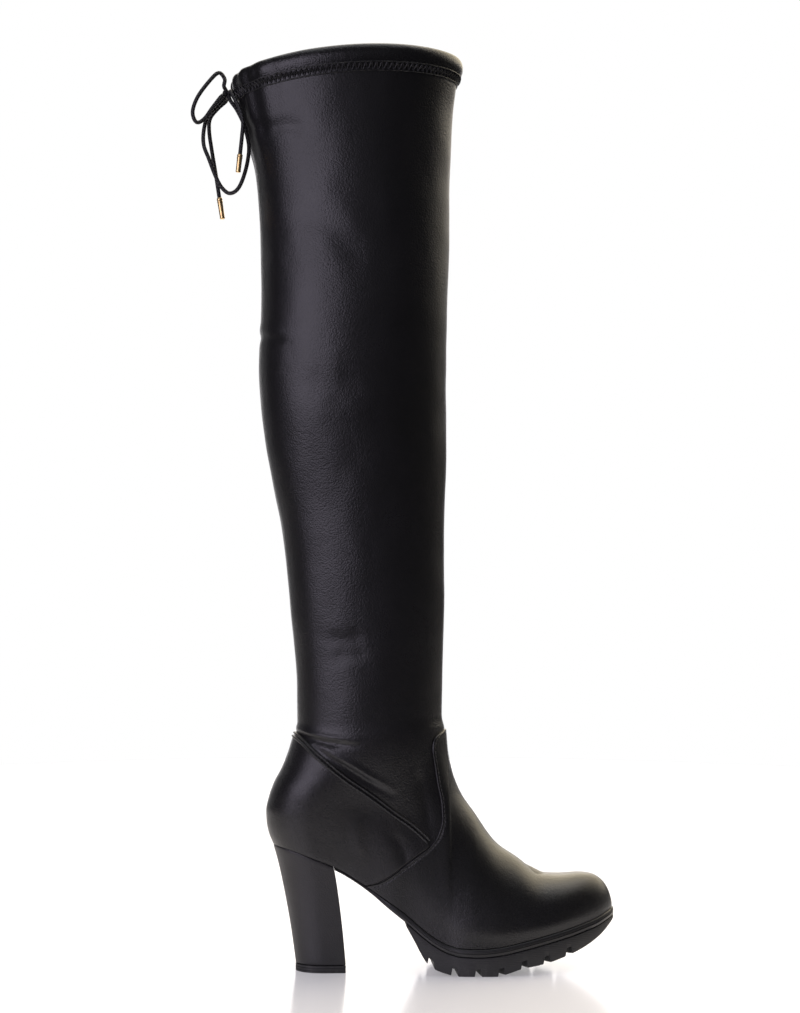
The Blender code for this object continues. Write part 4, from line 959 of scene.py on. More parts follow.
def tube_uv(mesh, path, sides):
    """UV map of a tube: once round for U, and lengths in V counted in diameters."""
    place = np.concatenate(([0.0], np.cumsum(np.linalg.norm(np.diff(path, axis=0), axis=1))))
    layer = mesh.uv_layers.new(name="UVMap")
    for polygon in mesh.polygons:
        if len(polygon.vertices) != 4:
            continue
        wraps = {v % sides for v in polygon.vertices} == {0, sides - 1}
        for loop_index in polygon.loop_indices:
            vertex = mesh.loops[loop_index].vertex_index
            row, column = divmod(vertex, sides)
            u = 1.0 if wraps and column == 0 else column / sides
            layer.data[loop_index].uv = (u, place[row] / CORD_DIAMETER)


def add_cord(name, route, node, loop=False):
    points = leave_knot(route[0]) + [np.array(p) for p in (route[1:-1] if loop else route[1:])]
    if loop:
        points += leave_knot(route[-1])[::-1]
    path, length = cord_route(points)
    sides = 14
    vertices, faces = tube(path, 0.5 * CORD_DIAMETER, sides)
    made = add_mesh(name, vertices, faces, CORD_BRAID, "black_cord")
    tube_uv(made.data, path, sides)
    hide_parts(node)
    tuple(path[0])
    [tuple(p) for p in path]
    return path


TIP_PROFILE = (             # share of the length, radius as a share of the tip's
    (-0.02, 0.60), (0.0, 0.90), (0.05, 1.0), (0.09, 1.0), (0.11, 0.90), (0.14, 0.90), (0.16, 1.0),
    (0.20, 1.0), (0.22, 0.92), (0.86, 0.86), (0.92, 0.90), (0.96, 0.88), (0.99, 0.78), (1.0, 0.62),
)


def add_tip(name, route, length, node):
    """Turned metal end of a tail."""
    points = leave_knot(route[0]) + [np.array(p) for p in route[1:]]
    path, _ = cord_route(points)
    heading = path[-1] - path[-3]
    heading /= np.linalg.norm(heading)
    shares = np.array([row[0] for row in TIP_PROFILE])
    centre = path[-1] + GAP * heading + shares[:, None] * length * heading
    radius = 0.5 * TIP_DIAMETER * np.array([row[1] for row in TIP_PROFILE])
    made = add_mesh(name, *tube(centre, radius, 28), GOLD, "gold_metal", 50.0)
    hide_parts(node)
    return made


def add_knot():
    """Pulled-tight knot: one strand of cord over and under itself."""
    turn = np.linspace(0.0, 2.0 * np.pi, 120, endpoint=False)
    path = np.stack((np.sin(turn) + 2.0 * np.sin(2.0 * turn), -1.3 * np.sin(3.0 * turn),
                     np.cos(turn) - 2.0 * np.cos(2.0 * turn)), axis=1)
    path = path / 3.0 * (KNOT_RADIUS - 0.45 * CORD_DIAMETER) + KNOT_CENTRE
    sides = 12
    made = add_mesh("bow_knot", *tube(path, 0.52 * CORD_DIAMETER, sides, closed=True),
                    CORD_BRAID, "black_cord")
    tube_uv(made.data, path, sides)
    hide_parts("cord_knot")


add_knot()
tip_a = add_tip("tail_tip_long", TAIL_A, 0.0150, "cord_tip_a")
tip_b = add_tip("tail_tip_short", TAIL_B, 0.0125, "cord_tip_b")
add_cord("bow_loop_small", LOOP_A, "cord_loop_a", loop=True)
add_cord("bow_loop_large", LOOP_B, "cord_loop_b", loop=True)
add_cord("bow_tail_long", TAIL_A, "cord_tail_a")
add_cord("bow_tail_short", TAIL_B, "cord_tail_b")


# The upper

def add_shaft():
    """Outer skin in fine steps, closed by a coarse inner wall."""
    hidden = int(row_at(COVERED_LEVEL))
    rows = list(range(0, hidden, 4)) + list(range(hidden, len(GRID)))
    back_rows = rows[::-1][::22] + [0]
    inner = GRID - WALL * NORMALS
    inner[0, :, 2] = GRID[0, :, 2]
    inner[-1, :, 2] = GRID[-1, :, 2]
    rings = np.concatenate((GRID[rows], inner[back_rows]))
    made = add_mesh("shaft_skin", *closed_loop(rings), SHAFT_LEATHER, "shaft_leather", 60.0)
    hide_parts("upper")


def add_lining():
    rows = list(range(2, len(GRID) - 2, 6)) + [len(GRID) - 3]
    columns = range(0, COLUMNS, 2)
    start = WALL + LINING_GAP
    outer = (GRID - start * NORMALS)[np.ix_(rows, columns)]
    inner = (GRID - (start + LINING) * NORMALS)[np.ix_(rows, columns)]
    points, faces = closed_loop(np.concatenate((outer[::-1], inner)))
    add_mesh("shaft_lining", points, faces[:, ::-1], LINING_CLOTH, "insole_cloth", 60.0)


def seam_column(rows_table, row, side, shift=0.0):
    level = float(np.interp(row, np.arange(len(LEVELS)), LEVELS))
    x = HEEL_BACK_X + FOOT_LENGTH * curve(rows_table, "along", level) + shift
    return float(column_at(row, x, side))


def edge_spread(start, end, count, fine=6, step=0.22):
    """Columns from start to end, closer together at both ends."""
    width = end - start
    squeeze = min(1.0, abs(width) / (4.0 * fine * step)) * np.sign(width)
    near = step * np.arange(1, fine + 1) * squeeze
    middle = np.linspace(start + near[-1], end - near[-1], count - 2 * fine)
    return np.concatenate(([start], start + near[:-1], middle, end - near[:-1][::-1], [end]))


def folded(points, normals, cover, rim=0.0009, groove=0.0):
    """Outer face of a lapped piece: turned down round its edges, drawn in along its stitches."""
    across = np.linalg.norm(np.diff(points, axis=1), axis=2)
    from_start = np.concatenate((np.zeros((len(points), 1)), np.cumsum(across, axis=1)), axis=1)
    from_end = from_start[:, -1:] - from_start
    edge = np.minimum(from_start, from_end)
    drawn_in = groove * np.exp(-((edge - EDGE_TO_STITCH) / STITCH_DIP) ** 2)
    turned = EDGE_SHARE + (1.0 - EDGE_SHARE) * dome(edge / rim)
    return points + (cover * turned - drawn_in)[:, :, None] * normals


def add_vamp():
    rows = np.linspace(0.0, ANKLE_ROW - 0.35, 118)
    columns = []
    for row in rows:
        outer = seam_column(VAMP_EDGE, row, -1)
        inner = seam_column(VAMP_EDGE, row, 1)
        columns.append(edge_spread(outer, inner + COLUMNS, 140, 10))
    columns = np.array(columns)
    place = np.repeat(rows[:, None], columns.shape[1], axis=1)
    base, normals = sample(GRID, place, columns), sample(NORMALS, place, columns)
    outer = folded(base, normals, COVER, groove=0.0003)
    made = add_mesh("vamp_skin", *shell(outer, base - SKIN * normals),
                    VAMP_LEATHER, "vamp_leather", 55.0)
    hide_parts("vamp")


def add_quarter():
    rows = np.linspace(0.0, row_at(QUARTER_TOP), 104)
    columns = []
    for row in rows:
        level = float(np.interp(row, np.arange(len(LEVELS)), LEVELS))
        limits = []
        for side in (-1, 1):
            limit = abs(seam_column(VAMP_EDGE, row, side, -0.0004))
            if level > ANKLE_EDGE[0].level:
                limit = min(limit, abs(seam_column(ANKLE_EDGE, row, side, 0.0012)))
            limits.append(limit)
        columns.append(edge_spread(limits[0], -limits[1], 124))
    columns = np.array(columns)[:, ::-1]
    place = np.repeat(rows[:, None], columns.shape[1], axis=1)
    base, normals = sample(GRID, place, columns), sample(NORMALS, place, columns)
    outer = folded(base, normals, 0.85 * COVER)
    made = add_mesh("heel_quarter_skin", *shell(outer, base - SKIN * normals),
                    QUARTER_LEATHER, "quarter_leather", 55.0)
    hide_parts("heel_quarter")


def seam_path(rows_table, low, high, shift=0.0, join=True):
    """Rows and columns along a seam, from the outer side round the back to the inner.

    Unless they are joined, the two sides are given apart, each from below.
    """
    halves = []
    for side in (-1, 1):
        rows = np.linspace(row_at(low), row_at(high), 260)
        columns = np.array([seam_column(rows_table, row, side, shift) for row in rows])
        kept = np.abs(columns) > BACK_MARGIN
        halves.append((rows[kept], columns[kept]))
    if not join:
        return halves
    return [(np.concatenate((halves[0][0], halves[1][0][::-1])),
             np.concatenate((halves[0][1], halves[1][1][::-1])))]


def on_surface(rows, columns, lift=0.0):
    points, normals = sample(GRID, rows, columns), sample(NORMALS, rows, columns)
    return points + lift * normals, normals


def spaced(rows, columns, pitch):
    """The same path with places a pitch apart along the surface."""
    points, _ = on_surface(rows, columns)
    place = np.concatenate(([0.0], np.cumsum(np.linalg.norm(np.diff(points, axis=0), axis=1))))
    wanted = np.arange(0.0, place[-1], pitch)
    return np.interp(wanted, place, rows), np.interp(wanted, place, columns)


def beside(points, normals, offset):
    """A path moved sideways over the surface."""
    heading = np.gradient(points, axis=0)
    across = np.cross(normals, heading)
    across /= np.maximum(np.linalg.norm(across, axis=1, keepdims=True), 1e-12)
    return points + offset * across


def add_ankle_seam():
    """Raised strip sewn over the joint of shaft and quarter."""
    (rows, columns), = seam_path(ANKLE_EDGE, *STRIP_REACH, STRIP_SHIFT)
    rows, columns = spaced(rows, columns, 0.0011)
    points, normals = on_surface(rows, columns)
    half = ((1.0, -0.10), (0.99, 0.30), (0.90, 0.70), (0.72, 0.94), (0.50, 1.0), (0.28, 0.86),
            (0.12, 0.58), (0.0, 0.50))
    profile = [(-share, rise) for share, rise in half] + list(half[-2::-1])
    rings = [beside(points, normals, share * STRIP_HALF) + rise * STRIP_HEIGHT * normals
             for share, rise in profile]
    rings += [beside(points, normals, share * STRIP_HALF) - STRIP_ROOT * normals
              for share in (1.0, 0.0, -1.0)]
    rings = np.stack(rings, axis=1)
    count, around = rings.shape[:2]
    faces = [tuple(q) for q in lattice(count, around, closed=True)] + end_caps(count, around)
    made = add_mesh("ankle_strip", rings.reshape(-1, 3), faces, SEAM_LEATHER, "seam_leather", 50.0)
    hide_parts("ankle_seam")
    return points, normals


def stitch_parts(points, normals, lift):
    """Single stitches along a path: short threads that dip into the leather at both ends."""
    place = np.concatenate(([0.0], np.cumsum(np.linalg.norm(np.diff(points, axis=0), axis=1))))
    parts = []
    bow = np.linspace(0.0, 1.0, 6)
    for start in np.arange(0.5 * STITCH_PITCH, place[-1] - STITCH_LENGTH, STITCH_PITCH):
        at = start + bow * STITCH_LENGTH
        spot = np.stack([np.interp(at, place, points[:, k]) for k in range(3)], axis=1)
        out = np.stack([np.interp(at, place, normals[:, k]) for k in range(3)], axis=1)
        rise = lift - 0.9 * THREAD + 1.15 * THREAD * np.sin(np.pi * bow) ** 0.5
        parts.append(tube(spot + rise[:, None] * out, 0.5 * THREAD, 6))
    return parts


def add_stitches(name, parts):
    points, faces = joined(parts)
    add_mesh(name, points, faces, THREAD_BLACK, "black_cord", 60.0)


def add_casing():
    """Folded tunnel at the collar, gathered a little where the cord is tied."""
    section = (
        (0.0002, -0.02), (0.0009, -0.03), (0.0013, 0.02), (0.0017, 0.12), (0.0024, 0.28),
        (0.0030, 0.45), (0.0031, 0.58), (0.0029, 0.70), (0.0024, 0.82), (0.0016, 0.92),
        (0.0005, 1.00), (-0.0008, 1.02),
        (-0.0020, 0.99), (-0.0029, 0.92), (-0.0034, 0.80), (-0.0034, 0.60), (-0.0033, 0.42),
        (-0.0026, 0.40), (-0.0022, 0.46), (-0.0020, 0.80), (-0.0010, 0.95), (0.0001, 0.80),
    )
    share_of_shaft = CASING_HEIGHT / (COLLAR_BACK_HEIGHT - ANKLE_BACK_HEIGHT)
    low = row_at(LEVELS[-1] - share_of_shaft * SHAFT_LEVELS)
    fine = 2 * COLUMNS
    columns = np.arange(fine) / 2.0
    base, normals = on_surface(np.full(fine, low), columns)
    top, top_normals = on_surface(np.full(fine, float(len(GRID) - 1)), columns)
    behind = smooth_step(-0.060, -0.128, base[:, 0])
    pleat = np.sin(base[:, 1] / 0.0016 + 2.0 * np.sin(base[:, 1] / 0.006))
    rings = []
    for offset, share in section:
        within = min(max(share, 0.0), 1.0)
        way = (1.0 - within) * normals + within * top_normals
        push = offset
        if offset > 0:
            push = offset + PLEAT_DEPTH * pleat * behind * math.sin(math.pi * within)
        rings.append(base + share * (top - base) + np.reshape(push, (-1, 1)) * way)
    made = add_mesh("collar_band", *closed_loop(np.array(rings)),
                    CASING_LEATHER, "casing_leather", 60.0)
    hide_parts("collar_casing")
    return low


def add_zigzag(low):
    """Overlock stitch along the casing's lower edge: slanted teeth between two threads."""
    length = float(np.linalg.norm(np.diff(GRID[-8], axis=0, append=GRID[-8][:1]), axis=1).sum())
    teeth = int(length / ZIGZAG_PITCH)
    per_row = abs(float(GRID[-20, 0, 2] - GRID[-10, 0, 2])) / 10.0
    steps = np.arange(2 * teeth)
    columns = steps / (2.0 * teeth) * COLUMNS
    wobble = 0.0003 * np.array([noise.noise(Vector((k * 0.37, 2.0, 0.0))) for k in steps])
    height = np.where(steps % 2 == 0, -0.55, 0.45) * ZIGZAG_HEIGHT + wobble
    dense = np.linspace(0, 2 * teeth, 8 * teeth, endpoint=False)
    rows = low + np.interp(dense, steps, height, period=2 * teeth) / per_row
    across = np.interp(dense, np.append(steps, 2 * teeth), np.append(columns, COLUMNS))
    over_edge = smooth_step(-0.0006, 0.0012, np.interp(dense, steps, height, period=2 * teeth))
    lift = 0.0003 + 0.0019 * over_edge
    points, normals = on_surface(rows, across)
    parts = [tube(points + lift[:, None] * normals, ZIGZAG_THREAD, 6, closed=True)]
    for share, rise in ((-0.55, 0.0005), (0.45, 0.0023)):
        around = np.linspace(0.0, COLUMNS, 700, endpoint=False)
        line, out = on_surface(np.full(700, low + share * ZIGZAG_HEIGHT / per_row), around)
        parts.append(tube(line + rise * out, EDGE_THREAD, 6, closed=True))
    add_stitches("collar_overlock", parts)


add_shaft()
add_lining()
add_vamp()
add_quarter()
strip_points, strip_normals = add_ankle_seam()
casing_low = add_casing()
add_zigzag(casing_low)

strip_stitches = []
for offset in STRIP_STITCHES:
    line = beside(strip_points, strip_normals, offset * STRIP_HALF)
    strip_stitches += stitch_parts(line, strip_normals, STRIP_HEIGHT)
add_stitches("ankle_strip_stitches", strip_stitches)

vamp_stitches = []
for side, (rows, columns) in zip((-1, 1), seam_path(VAMP_EDGE, 0.02, 0.985, join=False)):
    rows, columns = spaced(rows, columns, 0.0008)
    points, normals = on_surface(rows, columns)
    points = beside(points, normals, side * EDGE_TO_STITCH)
    vamp_stitches += stitch_parts(points, normals, COVER - SKIN)
add_stitches("vamp_stitches", vamp_stitches)


# Soles and heel, from the part's functions

RIM_LINES = {side: GRID[0, -side * np.arange(COLUMNS // 2 + 1) % COLUMNS] for side in (-1, 1)}


def rim_height(x, side):
    return np.interp(x, RIM_LINES[side][:, 0], RIM_LINES[side][:, 2])


def sole_reach(overhang):
    return ring_back_x(0.0) - overhang, TIP_X + overhang


def sole_edge(x, side, overhang):
    rear, front = sole_reach(overhang)
    back, tip = sole_reach(0.0)
    inner_x = back + (x - rear) * (tip - back) / (front - rear)
    half = foot_half(inner_x, 0.0, bottom_height(inner_x), back)
    half = half + overhang * dome((x - rear) / HEEL_ROUND) * dome((front - x) / TOE_ROUND)
    return 0.5 * BALL_WIDTH * curve(FOOT, "centre", along(inner_x)) + side * half


def sole_point(x, share, rise, overhang):
    outer, inner = sole_edge(x, -1, overhang), sole_edge(x, 1, overhang)
    low, high = rim_height(x, -1), rim_height(x, 1)
    seat = 0.5 * (low + high) + 0.5 * share * (high - low)
    across = 0.5 * (outer + inner) + 0.5 * share * (inner - outer)
    return np.stack((x, across, seat + rise), axis=-1)


def ring_of(stations, shares):
    """Places round the outline of a grid of stations and shares, anticlockwise from above."""
    low = [(x, shares[0]) for x in stations]
    front = [(stations[-1], s) for s in shares[1:]]
    high = [(x, shares[-1]) for x in stations[-2::-1]]
    rear = [(stations[0], s) for s in shares[-2:0:-1]]
    return np.array(low + front + high + rear)


def slab(stations, shares, top, levels, bottom):
    """Closed slab: a grid on top, rings down its side and a grid below.

    top and bottom turn arrays of stations and shares into points, and so does each
    level. The first level lies on the top's outline and the last on the bottom's.
    """
    xs, ss = np.meshgrid(stations, shares, indexing="ij")
    upper, lower = top(xs.ravel(), ss.ravel()), bottom(xs.ravel(), ss.ravel())
    n, m = len(stations), len(shares)
    ring = ring_of(stations, shares)
    index = {(i, j): i * m + j for i in range(n) for j in range(m)}
    order = ([(i, 0) for i in range(n)] + [(n - 1, j) for j in range(1, m)]
             + [(i, m - 1) for i in range(n - 2, -1, -1)] + [(0, j) for j in range(m - 2, 0, -1)])
    rim = np.array([index[key] for key in order])
    quads = lattice(n, m)
    points = [upper, lower]
    faces = [quads, len(upper) + quads[:, ::-1]]
    previous = rim
    start = len(upper) + len(lower)
    for level in levels[1:-1]:
        points.append(level(ring[:, 0], ring[:, 1]))
        here = start + np.arange(len(ring))
        faces.append(np.stack((previous, here, np.roll(here, -1), np.roll(previous, -1)), axis=-1))
        previous, start = here, start + len(ring)
    here = len(upper) + rim
    faces.append(np.stack((previous, here, np.roll(here, -1), np.roll(previous, -1)), axis=-1))
    return np.concatenate(points), np.concatenate(faces)


def spread(start, end, count, ends=(True, True)):
    t = np.linspace(0.0, 1.0, count + 1)
    if ends == (True, True):
        t = 0.5 - 0.5 * np.cos(np.pi * t)
    elif ends == (False, True):
        t = np.sin(0.5 * np.pi * t)
    elif ends == (True, False):
        t = 1.0 - np.cos(0.5 * np.pi * t)
    return start + t * (end - start)


ACROSS = -np.cos(np.pi * np.arange(15) / 14)
POINT = 0.00002             # soles end this far short of a sharp point


def add_insole():
    rear, front = sole_reach(-INSOLE_INSET)
    stations = spread(rear + POINT, front - POINT, 110)

    def level(rise):
        return lambda x, s: sole_point(x, s, rise, -INSOLE_INSET)

    def crowned(x, s):
        point = sole_point(x, s, INSOLE_THICKNESS, -INSOLE_INSET)
        point[:, 2] -= 0.0006 * np.abs(s) ** 6
        return point
    levels = (crowned, level(0.6 * INSOLE_THICKNESS), level(0.0))
    points, faces = slab(stations, ACROSS, crowned, levels, levels[-1])
    made = add_mesh("sock_lining", points, faces, SOCK_CLOTH, "insole_cloth")
    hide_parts("insole")


def band_thickness(x):
    return SHANK_THICKNESS + (MIDSOLE_THICKNESS - SHANK_THICKNESS) * curve(BAND, "full", along(x))


def midsole_overhang(x):
    return SOLE_OVERHANG * smooth_step(0.26, 0.40, along(x))


def stretched(x, extra):
    """Stations moved so that a level with another overhang keeps its own tip."""
    front = sole_reach(SOLE_OVERHANG)[1]
    return x + extra * smooth_step(front - 1.5 * TOE_ROUND, front, x)


def add_midsole():
    front = sole_reach(SOLE_OVERHANG)[1] - POINT
    shank = np.linspace(HEEL_BREAST_X + SHANK_SETBACK, OUTSOLE_REAR_X, 34)
    stations = np.concatenate((shank[:-1], spread(OUTSOLE_REAR_X, front, 120, (False, True))))

    def level(depth, inset):
        def place(x, s):
            x = stretched(x, -inset)
            overhang = midsole_overhang(x)
            return sole_point(x, s, -SEAT_GAP - depth * band_thickness(x), overhang - inset)
        return place
    steps = ((0.0, 0.0010), (0.05, 0.0004), (0.16, 0.0), (0.46, -0.0001), (0.50, 0.0005),
             (0.56, 0.0005), (0.60, -0.0001), (0.90, 0.0), (0.97, 0.0004), (1.0, 0.0009))
    levels = [level(*step) for step in steps]
    points, faces = slab(stations, ACROSS, levels[0], levels, levels[-1])
    made = add_mesh("midsole_band", points, faces, MIDSOLE_RUBBER, "midsole_rubber", 42.0)
    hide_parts("midsole")


def tread_height(x):
    return PLATFORM_HEIGHT * curve(TREAD, "height", along(x))


LIP = 0.0005                # rounding of the lugs' edges


def groove_depth(x):
    """Share of the groove's depth at a place along the sole, with rounded lips."""
    depth = np.zeros_like(x)
    for n in range(LUG_COUNT):
        away = np.abs(x - FIRST_GROOVE_X - n * LUG_PITCH)
        outer = 0.5 * LUG_GROOVE
        wall = np.interp(away, (outer - LUG_TAPER, outer, outer + LIP), (1.0, 0.08, 0.0))
        depth = np.maximum(depth, wall)
    return depth


def add_outsole():
    front = sole_reach(SOLE_OVERHANG)[1] - POINT
    plain = spread(OUTSOLE_REAR_X, front, 130, (False, True))
    marks = []
    half = 0.5 * LUG_GROOVE
    for n in range(LUG_COUNT):
        middle = FIRST_GROOVE_X + n * LUG_PITCH
        marks += [middle + sign * reach for sign in (-1, 1)
                  for reach in (half + LIP, half, half - LUG_TAPER, half - LUG_TAPER - 0.0004)]
        marks.append(middle)
    clear = [x for x in plain if min(abs(x - m) for m in marks) > 0.0005]
    stations = np.array(sorted(clear + marks))
    last = FIRST_GROOVE_X + (LUG_COUNT - 1) * LUG_PITCH

    def over(x, s, inset=0.0, drop=0.0):
        x = stretched(x, -inset)
        rise = -SEAT_GAP - band_thickness(x) - SOLE_GAP - drop
        return sole_point(x, s, rise, SOLE_OVERHANG - inset)

    def under(x, s, inset=0.0, lift=0.0):
        window = 1.0 - smooth_step(last, last + LUG_PITCH, x)
        bend = window * smooth_step(CHEVRON_START, CHEVRON_START + 2.0 * LUG_PITCH, x)
        window = window * smooth_step(FIRST_GROOVE_X, FIRST_GROOVE_X + LUG_PITCH, x)
        moved = x + LUG_CHEVRON * (1.0 - s * s) * bend
        top = over(x, s, inset)
        low = tread_height(moved)
        tilt = arch_lift(x, 2.0 * top[:, 1] / BALL_WIDTH)
        low = low + tilt * np.minimum(low / PLATFORM_HEIGHT, 1.0)
        share = groove_depth(x)
        sipe = 0.0009 * np.exp(-((np.abs(s) - 0.52) / 0.018) ** 2) * (1.0 - share) * window
        middle = 0.5 * LUG_DEPTH * np.exp(-(s / 0.045) ** 4) * window * (1.0 - share)
        depth = np.minimum(LUG_DEPTH, GROOVE_LIMIT * (top[:, 2] - low)) * share + sipe + middle
        low = np.minimum(low + depth + lift, top[:, 2] - 0.0006)
        return np.stack((moved, top[:, 1], low), axis=-1)

    levels = (
        lambda x, s: over(x, s, 0.0007),
        lambda x, s: over(x, s, 0.0002, 0.0003),
        lambda x, s: over(x, s, 0.0, 0.0009),
        lambda x, s: 0.6 * over(x, s) + 0.4 * under(x, s),
        lambda x, s: under(x, s, 0.0, 0.0009),
        lambda x, s: under(x, s, 0.0003, 0.0003),
        lambda x, s: under(x, s, 0.0009, 0.0),
    )
    beside_sipes = np.array((0.02, 0.045, 0.06, 0.09, 0.48, 0.50, 0.52, 0.54, 0.56))
    across = np.concatenate((ACROSS, beside_sipes, -beside_sipes))
    across = np.array(sorted(set(np.round(across, 4))))
    points, faces = slab(stations, across, levels[0], levels, levels[-1])
    made = add_mesh("outsole_tread", points, faces, OUTSOLE_RUBBER, "outsole_rubber", 32.0)
    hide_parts("outsole")


def heel_place(x, share, up, inset=0.0):
    """Point of the heel's outline at a share of its height, moved in by an inset."""
    rear = sole_reach(HEEL_OVERHANG)[0] + POINT
    q = np.clip((x - rear) / (HEEL_BREAST_X - rear), 0.0, 1.0)
    top = sole_point(x, share, -SEAT_GAP, HEEL_OVERHANG)
    foot_x = HEEL_FOOT_BACK_X + q * (HEEL_FOOT_BREAST_X - HEEL_FOOT_BACK_X)
    rounded = HEEL_FOOT_FLAT + (1.0 - HEEL_FOOT_FLAT) * q / HEEL_FOOT_ROUND
    foot_y = 0.5 * share * HEEL_FOOT_WIDTH * dome(rounded, END_FULL)
    foot_z = TOP_PIECE_THICKNESS + GAP
    amount = curve(HEEL_BLOCK, "spread", up)
    place = np.stack((foot_x + amount * (top[:, 0] - foot_x),
                      foot_y + amount * (top[:, 1] - foot_y),
                      foot_z + up * (top[:, 2] - foot_z)), axis=-1)
    middle = np.array((0.5 * (HEEL_FOOT_BACK_X + HEEL_FOOT_BREAST_X), 0.0))
    reach = place[:, :2] - middle
    size = np.maximum(np.linalg.norm(reach, axis=1, keepdims=True), 1e-6)
    place[:, :2] = middle + reach * np.maximum(1.0 - inset / size, 0.0)
    return place


def heel_stations():
    rear = sole_reach(HEEL_OVERHANG)[0] + POINT
    main = spread(rear, HEEL_BREAST_X - 0.0012, 44, (True, False))
    return np.concatenate((main, (HEEL_BREAST_X - 0.0005, HEEL_BREAST_X)))


def add_heel():
    steps = [(1.0, 0.0006), (0.995, 0.0002), (0.985, 0.0)]
    steps += [(up, 0.0) for up in np.linspace(0.95, 0.05, 30)]
    steps += [(0.020, 0.0), (0.008, 0.0002), (0.0, 0.0007)]
    levels = [lambda x, s, up=up, inset=inset: heel_place(x, s, np.full(len(x), up), inset)
              for up, inset in steps]
    points, faces = slab(heel_stations(), ACROSS, levels[0], levels, levels[-1])
    made = add_mesh("heel_block", points, faces, HEEL_LEATHER, "heel_cover", 45.0)
    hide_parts("heel")


def add_top_piece():
    steps = ((1.0, 0.0004), (0.96, 0.0), (0.72, 0.0), (0.69, 0.0004), (0.64, 0.0004), (0.61, 0.0),
             (0.38, 0.0), (0.35, 0.0004), (0.30, 0.0004), (0.27, 0.0), (0.08, 0.0), (0.0, 0.0005))

    def level(share, inset):
        def place(x, s):
            point = heel_place(x, s, np.zeros(len(x)), inset)
            point[:, 2] = share * TOP_PIECE_THICKNESS
            return point
        return place
    levels = [level(*step) for step in steps]
    points, faces = slab(heel_stations(), ACROSS, levels[0], levels, levels[-1])
    made = add_mesh("top_piece", points, faces, TOP_PIECE_RUBBER, "top_piece_rubber", 30.0)
    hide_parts("heel_top_piece")


add_insole()
add_midsole()
add_outsole()
add_heel()
add_top_piece()


# Floor, world and lights

FLOOR_RADIUS = 1.15
FLOOR_GLOW = 0.26
ROOM_GLOW = 0.05            # of the dim side of the room, which black leather mirrors
WALL_GLOW = 1.25            # of the white wall behind the boot
WALL_EDGE = (0.86, 0.97)    # how squarely a ray must run backwards to meet the white wall


WINDOW_WAY = (0.45, 0.66, 0.60)     # direction of a big warm window behind the toe
WINDOW_EDGE = (0.60, 0.92)
WINDOW_SILL = (0.10, 0.32)
WINDOW_GLOW = 2.4
WINDOW_TINT = (1.0, 0.88, 0.66)
FLOOR_PLACE = (0.0, 0.83, 0.0)


def add_floor():
    mesh = bpy.data.meshes.new("floor")
    turn = 2.0 * np.pi * np.arange(96) / 96
    mesh.from_pydata([(FLOOR_RADIUS * math.cos(a), FLOOR_RADIUS * math.sin(a), 0.0) for a in turn],
                     [], [tuple(range(96))])
    floor = bpy.data.objects.new("floor", mesh)
    bpy.context.scene.collection.objects.link(floor)
    floor.location = FLOOR_PLACE
    made, t, shader = new_material("pale floor")
    place = t.add("ShaderNodeTexCoord").outputs["Object"]
    t.link(blend_colour(t, t.noise(place, 3.0), (0.90, 0.89, 0.91), (0.92, 0.91, 0.93)),
           shader.inputs["Base Color"])
    shader.inputs["Roughness"].default_value = 0.16
    shader.inputs["Emission Color"].default_value = (1.0, 0.98, 1.0, 1.0)
    shader.inputs["Emission Strength"].default_value = FLOOR_GLOW
    mesh.materials.append(made)


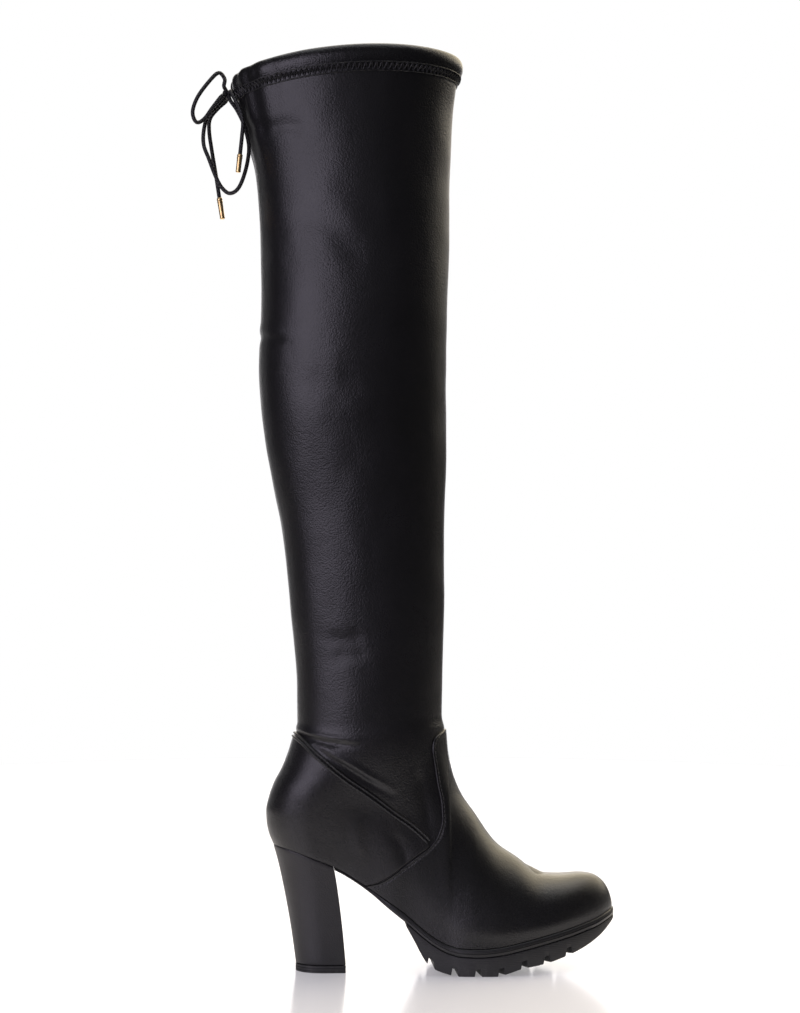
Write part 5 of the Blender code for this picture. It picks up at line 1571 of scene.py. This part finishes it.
def set_world():
    """White to the camera. To the boot: a dim room, a white wall behind, a warm window."""
    world = bpy.data.worlds.new("studio")
    bpy.context.scene.world = world
    world.use_nodes = True
    world.node_tree.nodes.clear()
    t = Tree(world.node_tree)
    out = t.add("ShaderNodeOutputWorld")
    seen, room = t.add("ShaderNodeBackground"), t.add("ShaderNodeBackground")
    seen.inputs["Color"].default_value = (1.0, 1.0, 1.0, 1.0)
    apart = t.add("ShaderNodeSeparateXYZ")
    t.link(t.add("ShaderNodeTexCoord").outputs["Generated"], apart.inputs[0])
    wall = t.ramp(apart.outputs["Y"], *WALL_EDGE, ROOM_GLOW, WALL_GLOW)
    toward = t.add("ShaderNodeVectorMath", operation="DOT_PRODUCT")
    t.link(t.add("ShaderNodeTexCoord").outputs["Generated"], toward.inputs[0])
    toward.inputs[1].default_value = WINDOW_WAY
    window = t.math("MULTIPLY", t.ramp(toward.outputs["Value"], *WINDOW_EDGE),
                    t.ramp(apart.outputs["Z"], *WINDOW_SILL))
    t.link(t.math("MULTIPLY_ADD", window, WINDOW_GLOW, wall), room.inputs["Strength"])
    t.link(blend_colour(t, window, (1.0, 0.98, 1.0), WINDOW_TINT), room.inputs["Color"])
    path, mix = t.add("ShaderNodeLightPath"), t.add("ShaderNodeMixShader")
    t.link(path.outputs["Is Camera Ray"], mix.inputs["Fac"])
    t.link(room.outputs[0], mix.inputs[1])
    t.link(seen.outputs[0], mix.inputs[2])
    t.link(mix.outputs[0], out.inputs["Surface"])


SoftLight = namedtuple("SoftLight", "name place aim size colour glow")
LIGHTS = (
    SoftLight("key", (-1.05, -1.12, 0.63), (-0.05, 0.0, 0.42), (1.45, 1.20), (0.89, 0.82, 1.0),
              2.3),
    SoftLight("front fill", (0.20, -1.75, 0.90), (0.0, 0.0, 0.4), (0.9, 1.0), (0.92, 0.90, 1.0),
              0.12),
    SoftLight("left edge", (-0.75, 0.62, 0.30), (-0.07, 0.0, 0.25), (0.12, 0.9),
              (1.0, 0.98, 1.0), 0.7),
    SoftLight("floor wash", (0.0, 0.15, 2.4), (0.0, 0.15, 0.0), (2.2, 2.2), (0.96, 0.97, 1.0), 1.2),
)


def add_lights():
    """Area lights; glow is the brightness of a light's face."""
    for row in LIGHTS:
        lamp = bpy.data.lights.new(row.name, "AREA")
        lamp.shape = "RECTANGLE"
        lamp.size, lamp.size_y = row.size
        lamp.color = row.colour
        lamp.energy = math.pi * row.size[0] * row.size[1] * row.glow
        made = bpy.data.objects.new(row.name, lamp)
        bpy.context.scene.collection.objects.link(made)
        made.location = row.place
        made.visible_camera = False
        made.rotation_mode = "QUATERNION"
        made.rotation_quaternion = (Vector(row.aim) - Vector(row.place)).to_track_quat("-Z", "Y")


add_floor()
set_world()
add_lights()
bpy.context.scene.view_settings.view_transform = "Standard"
bpy.context.scene.view_settings.look = "None"
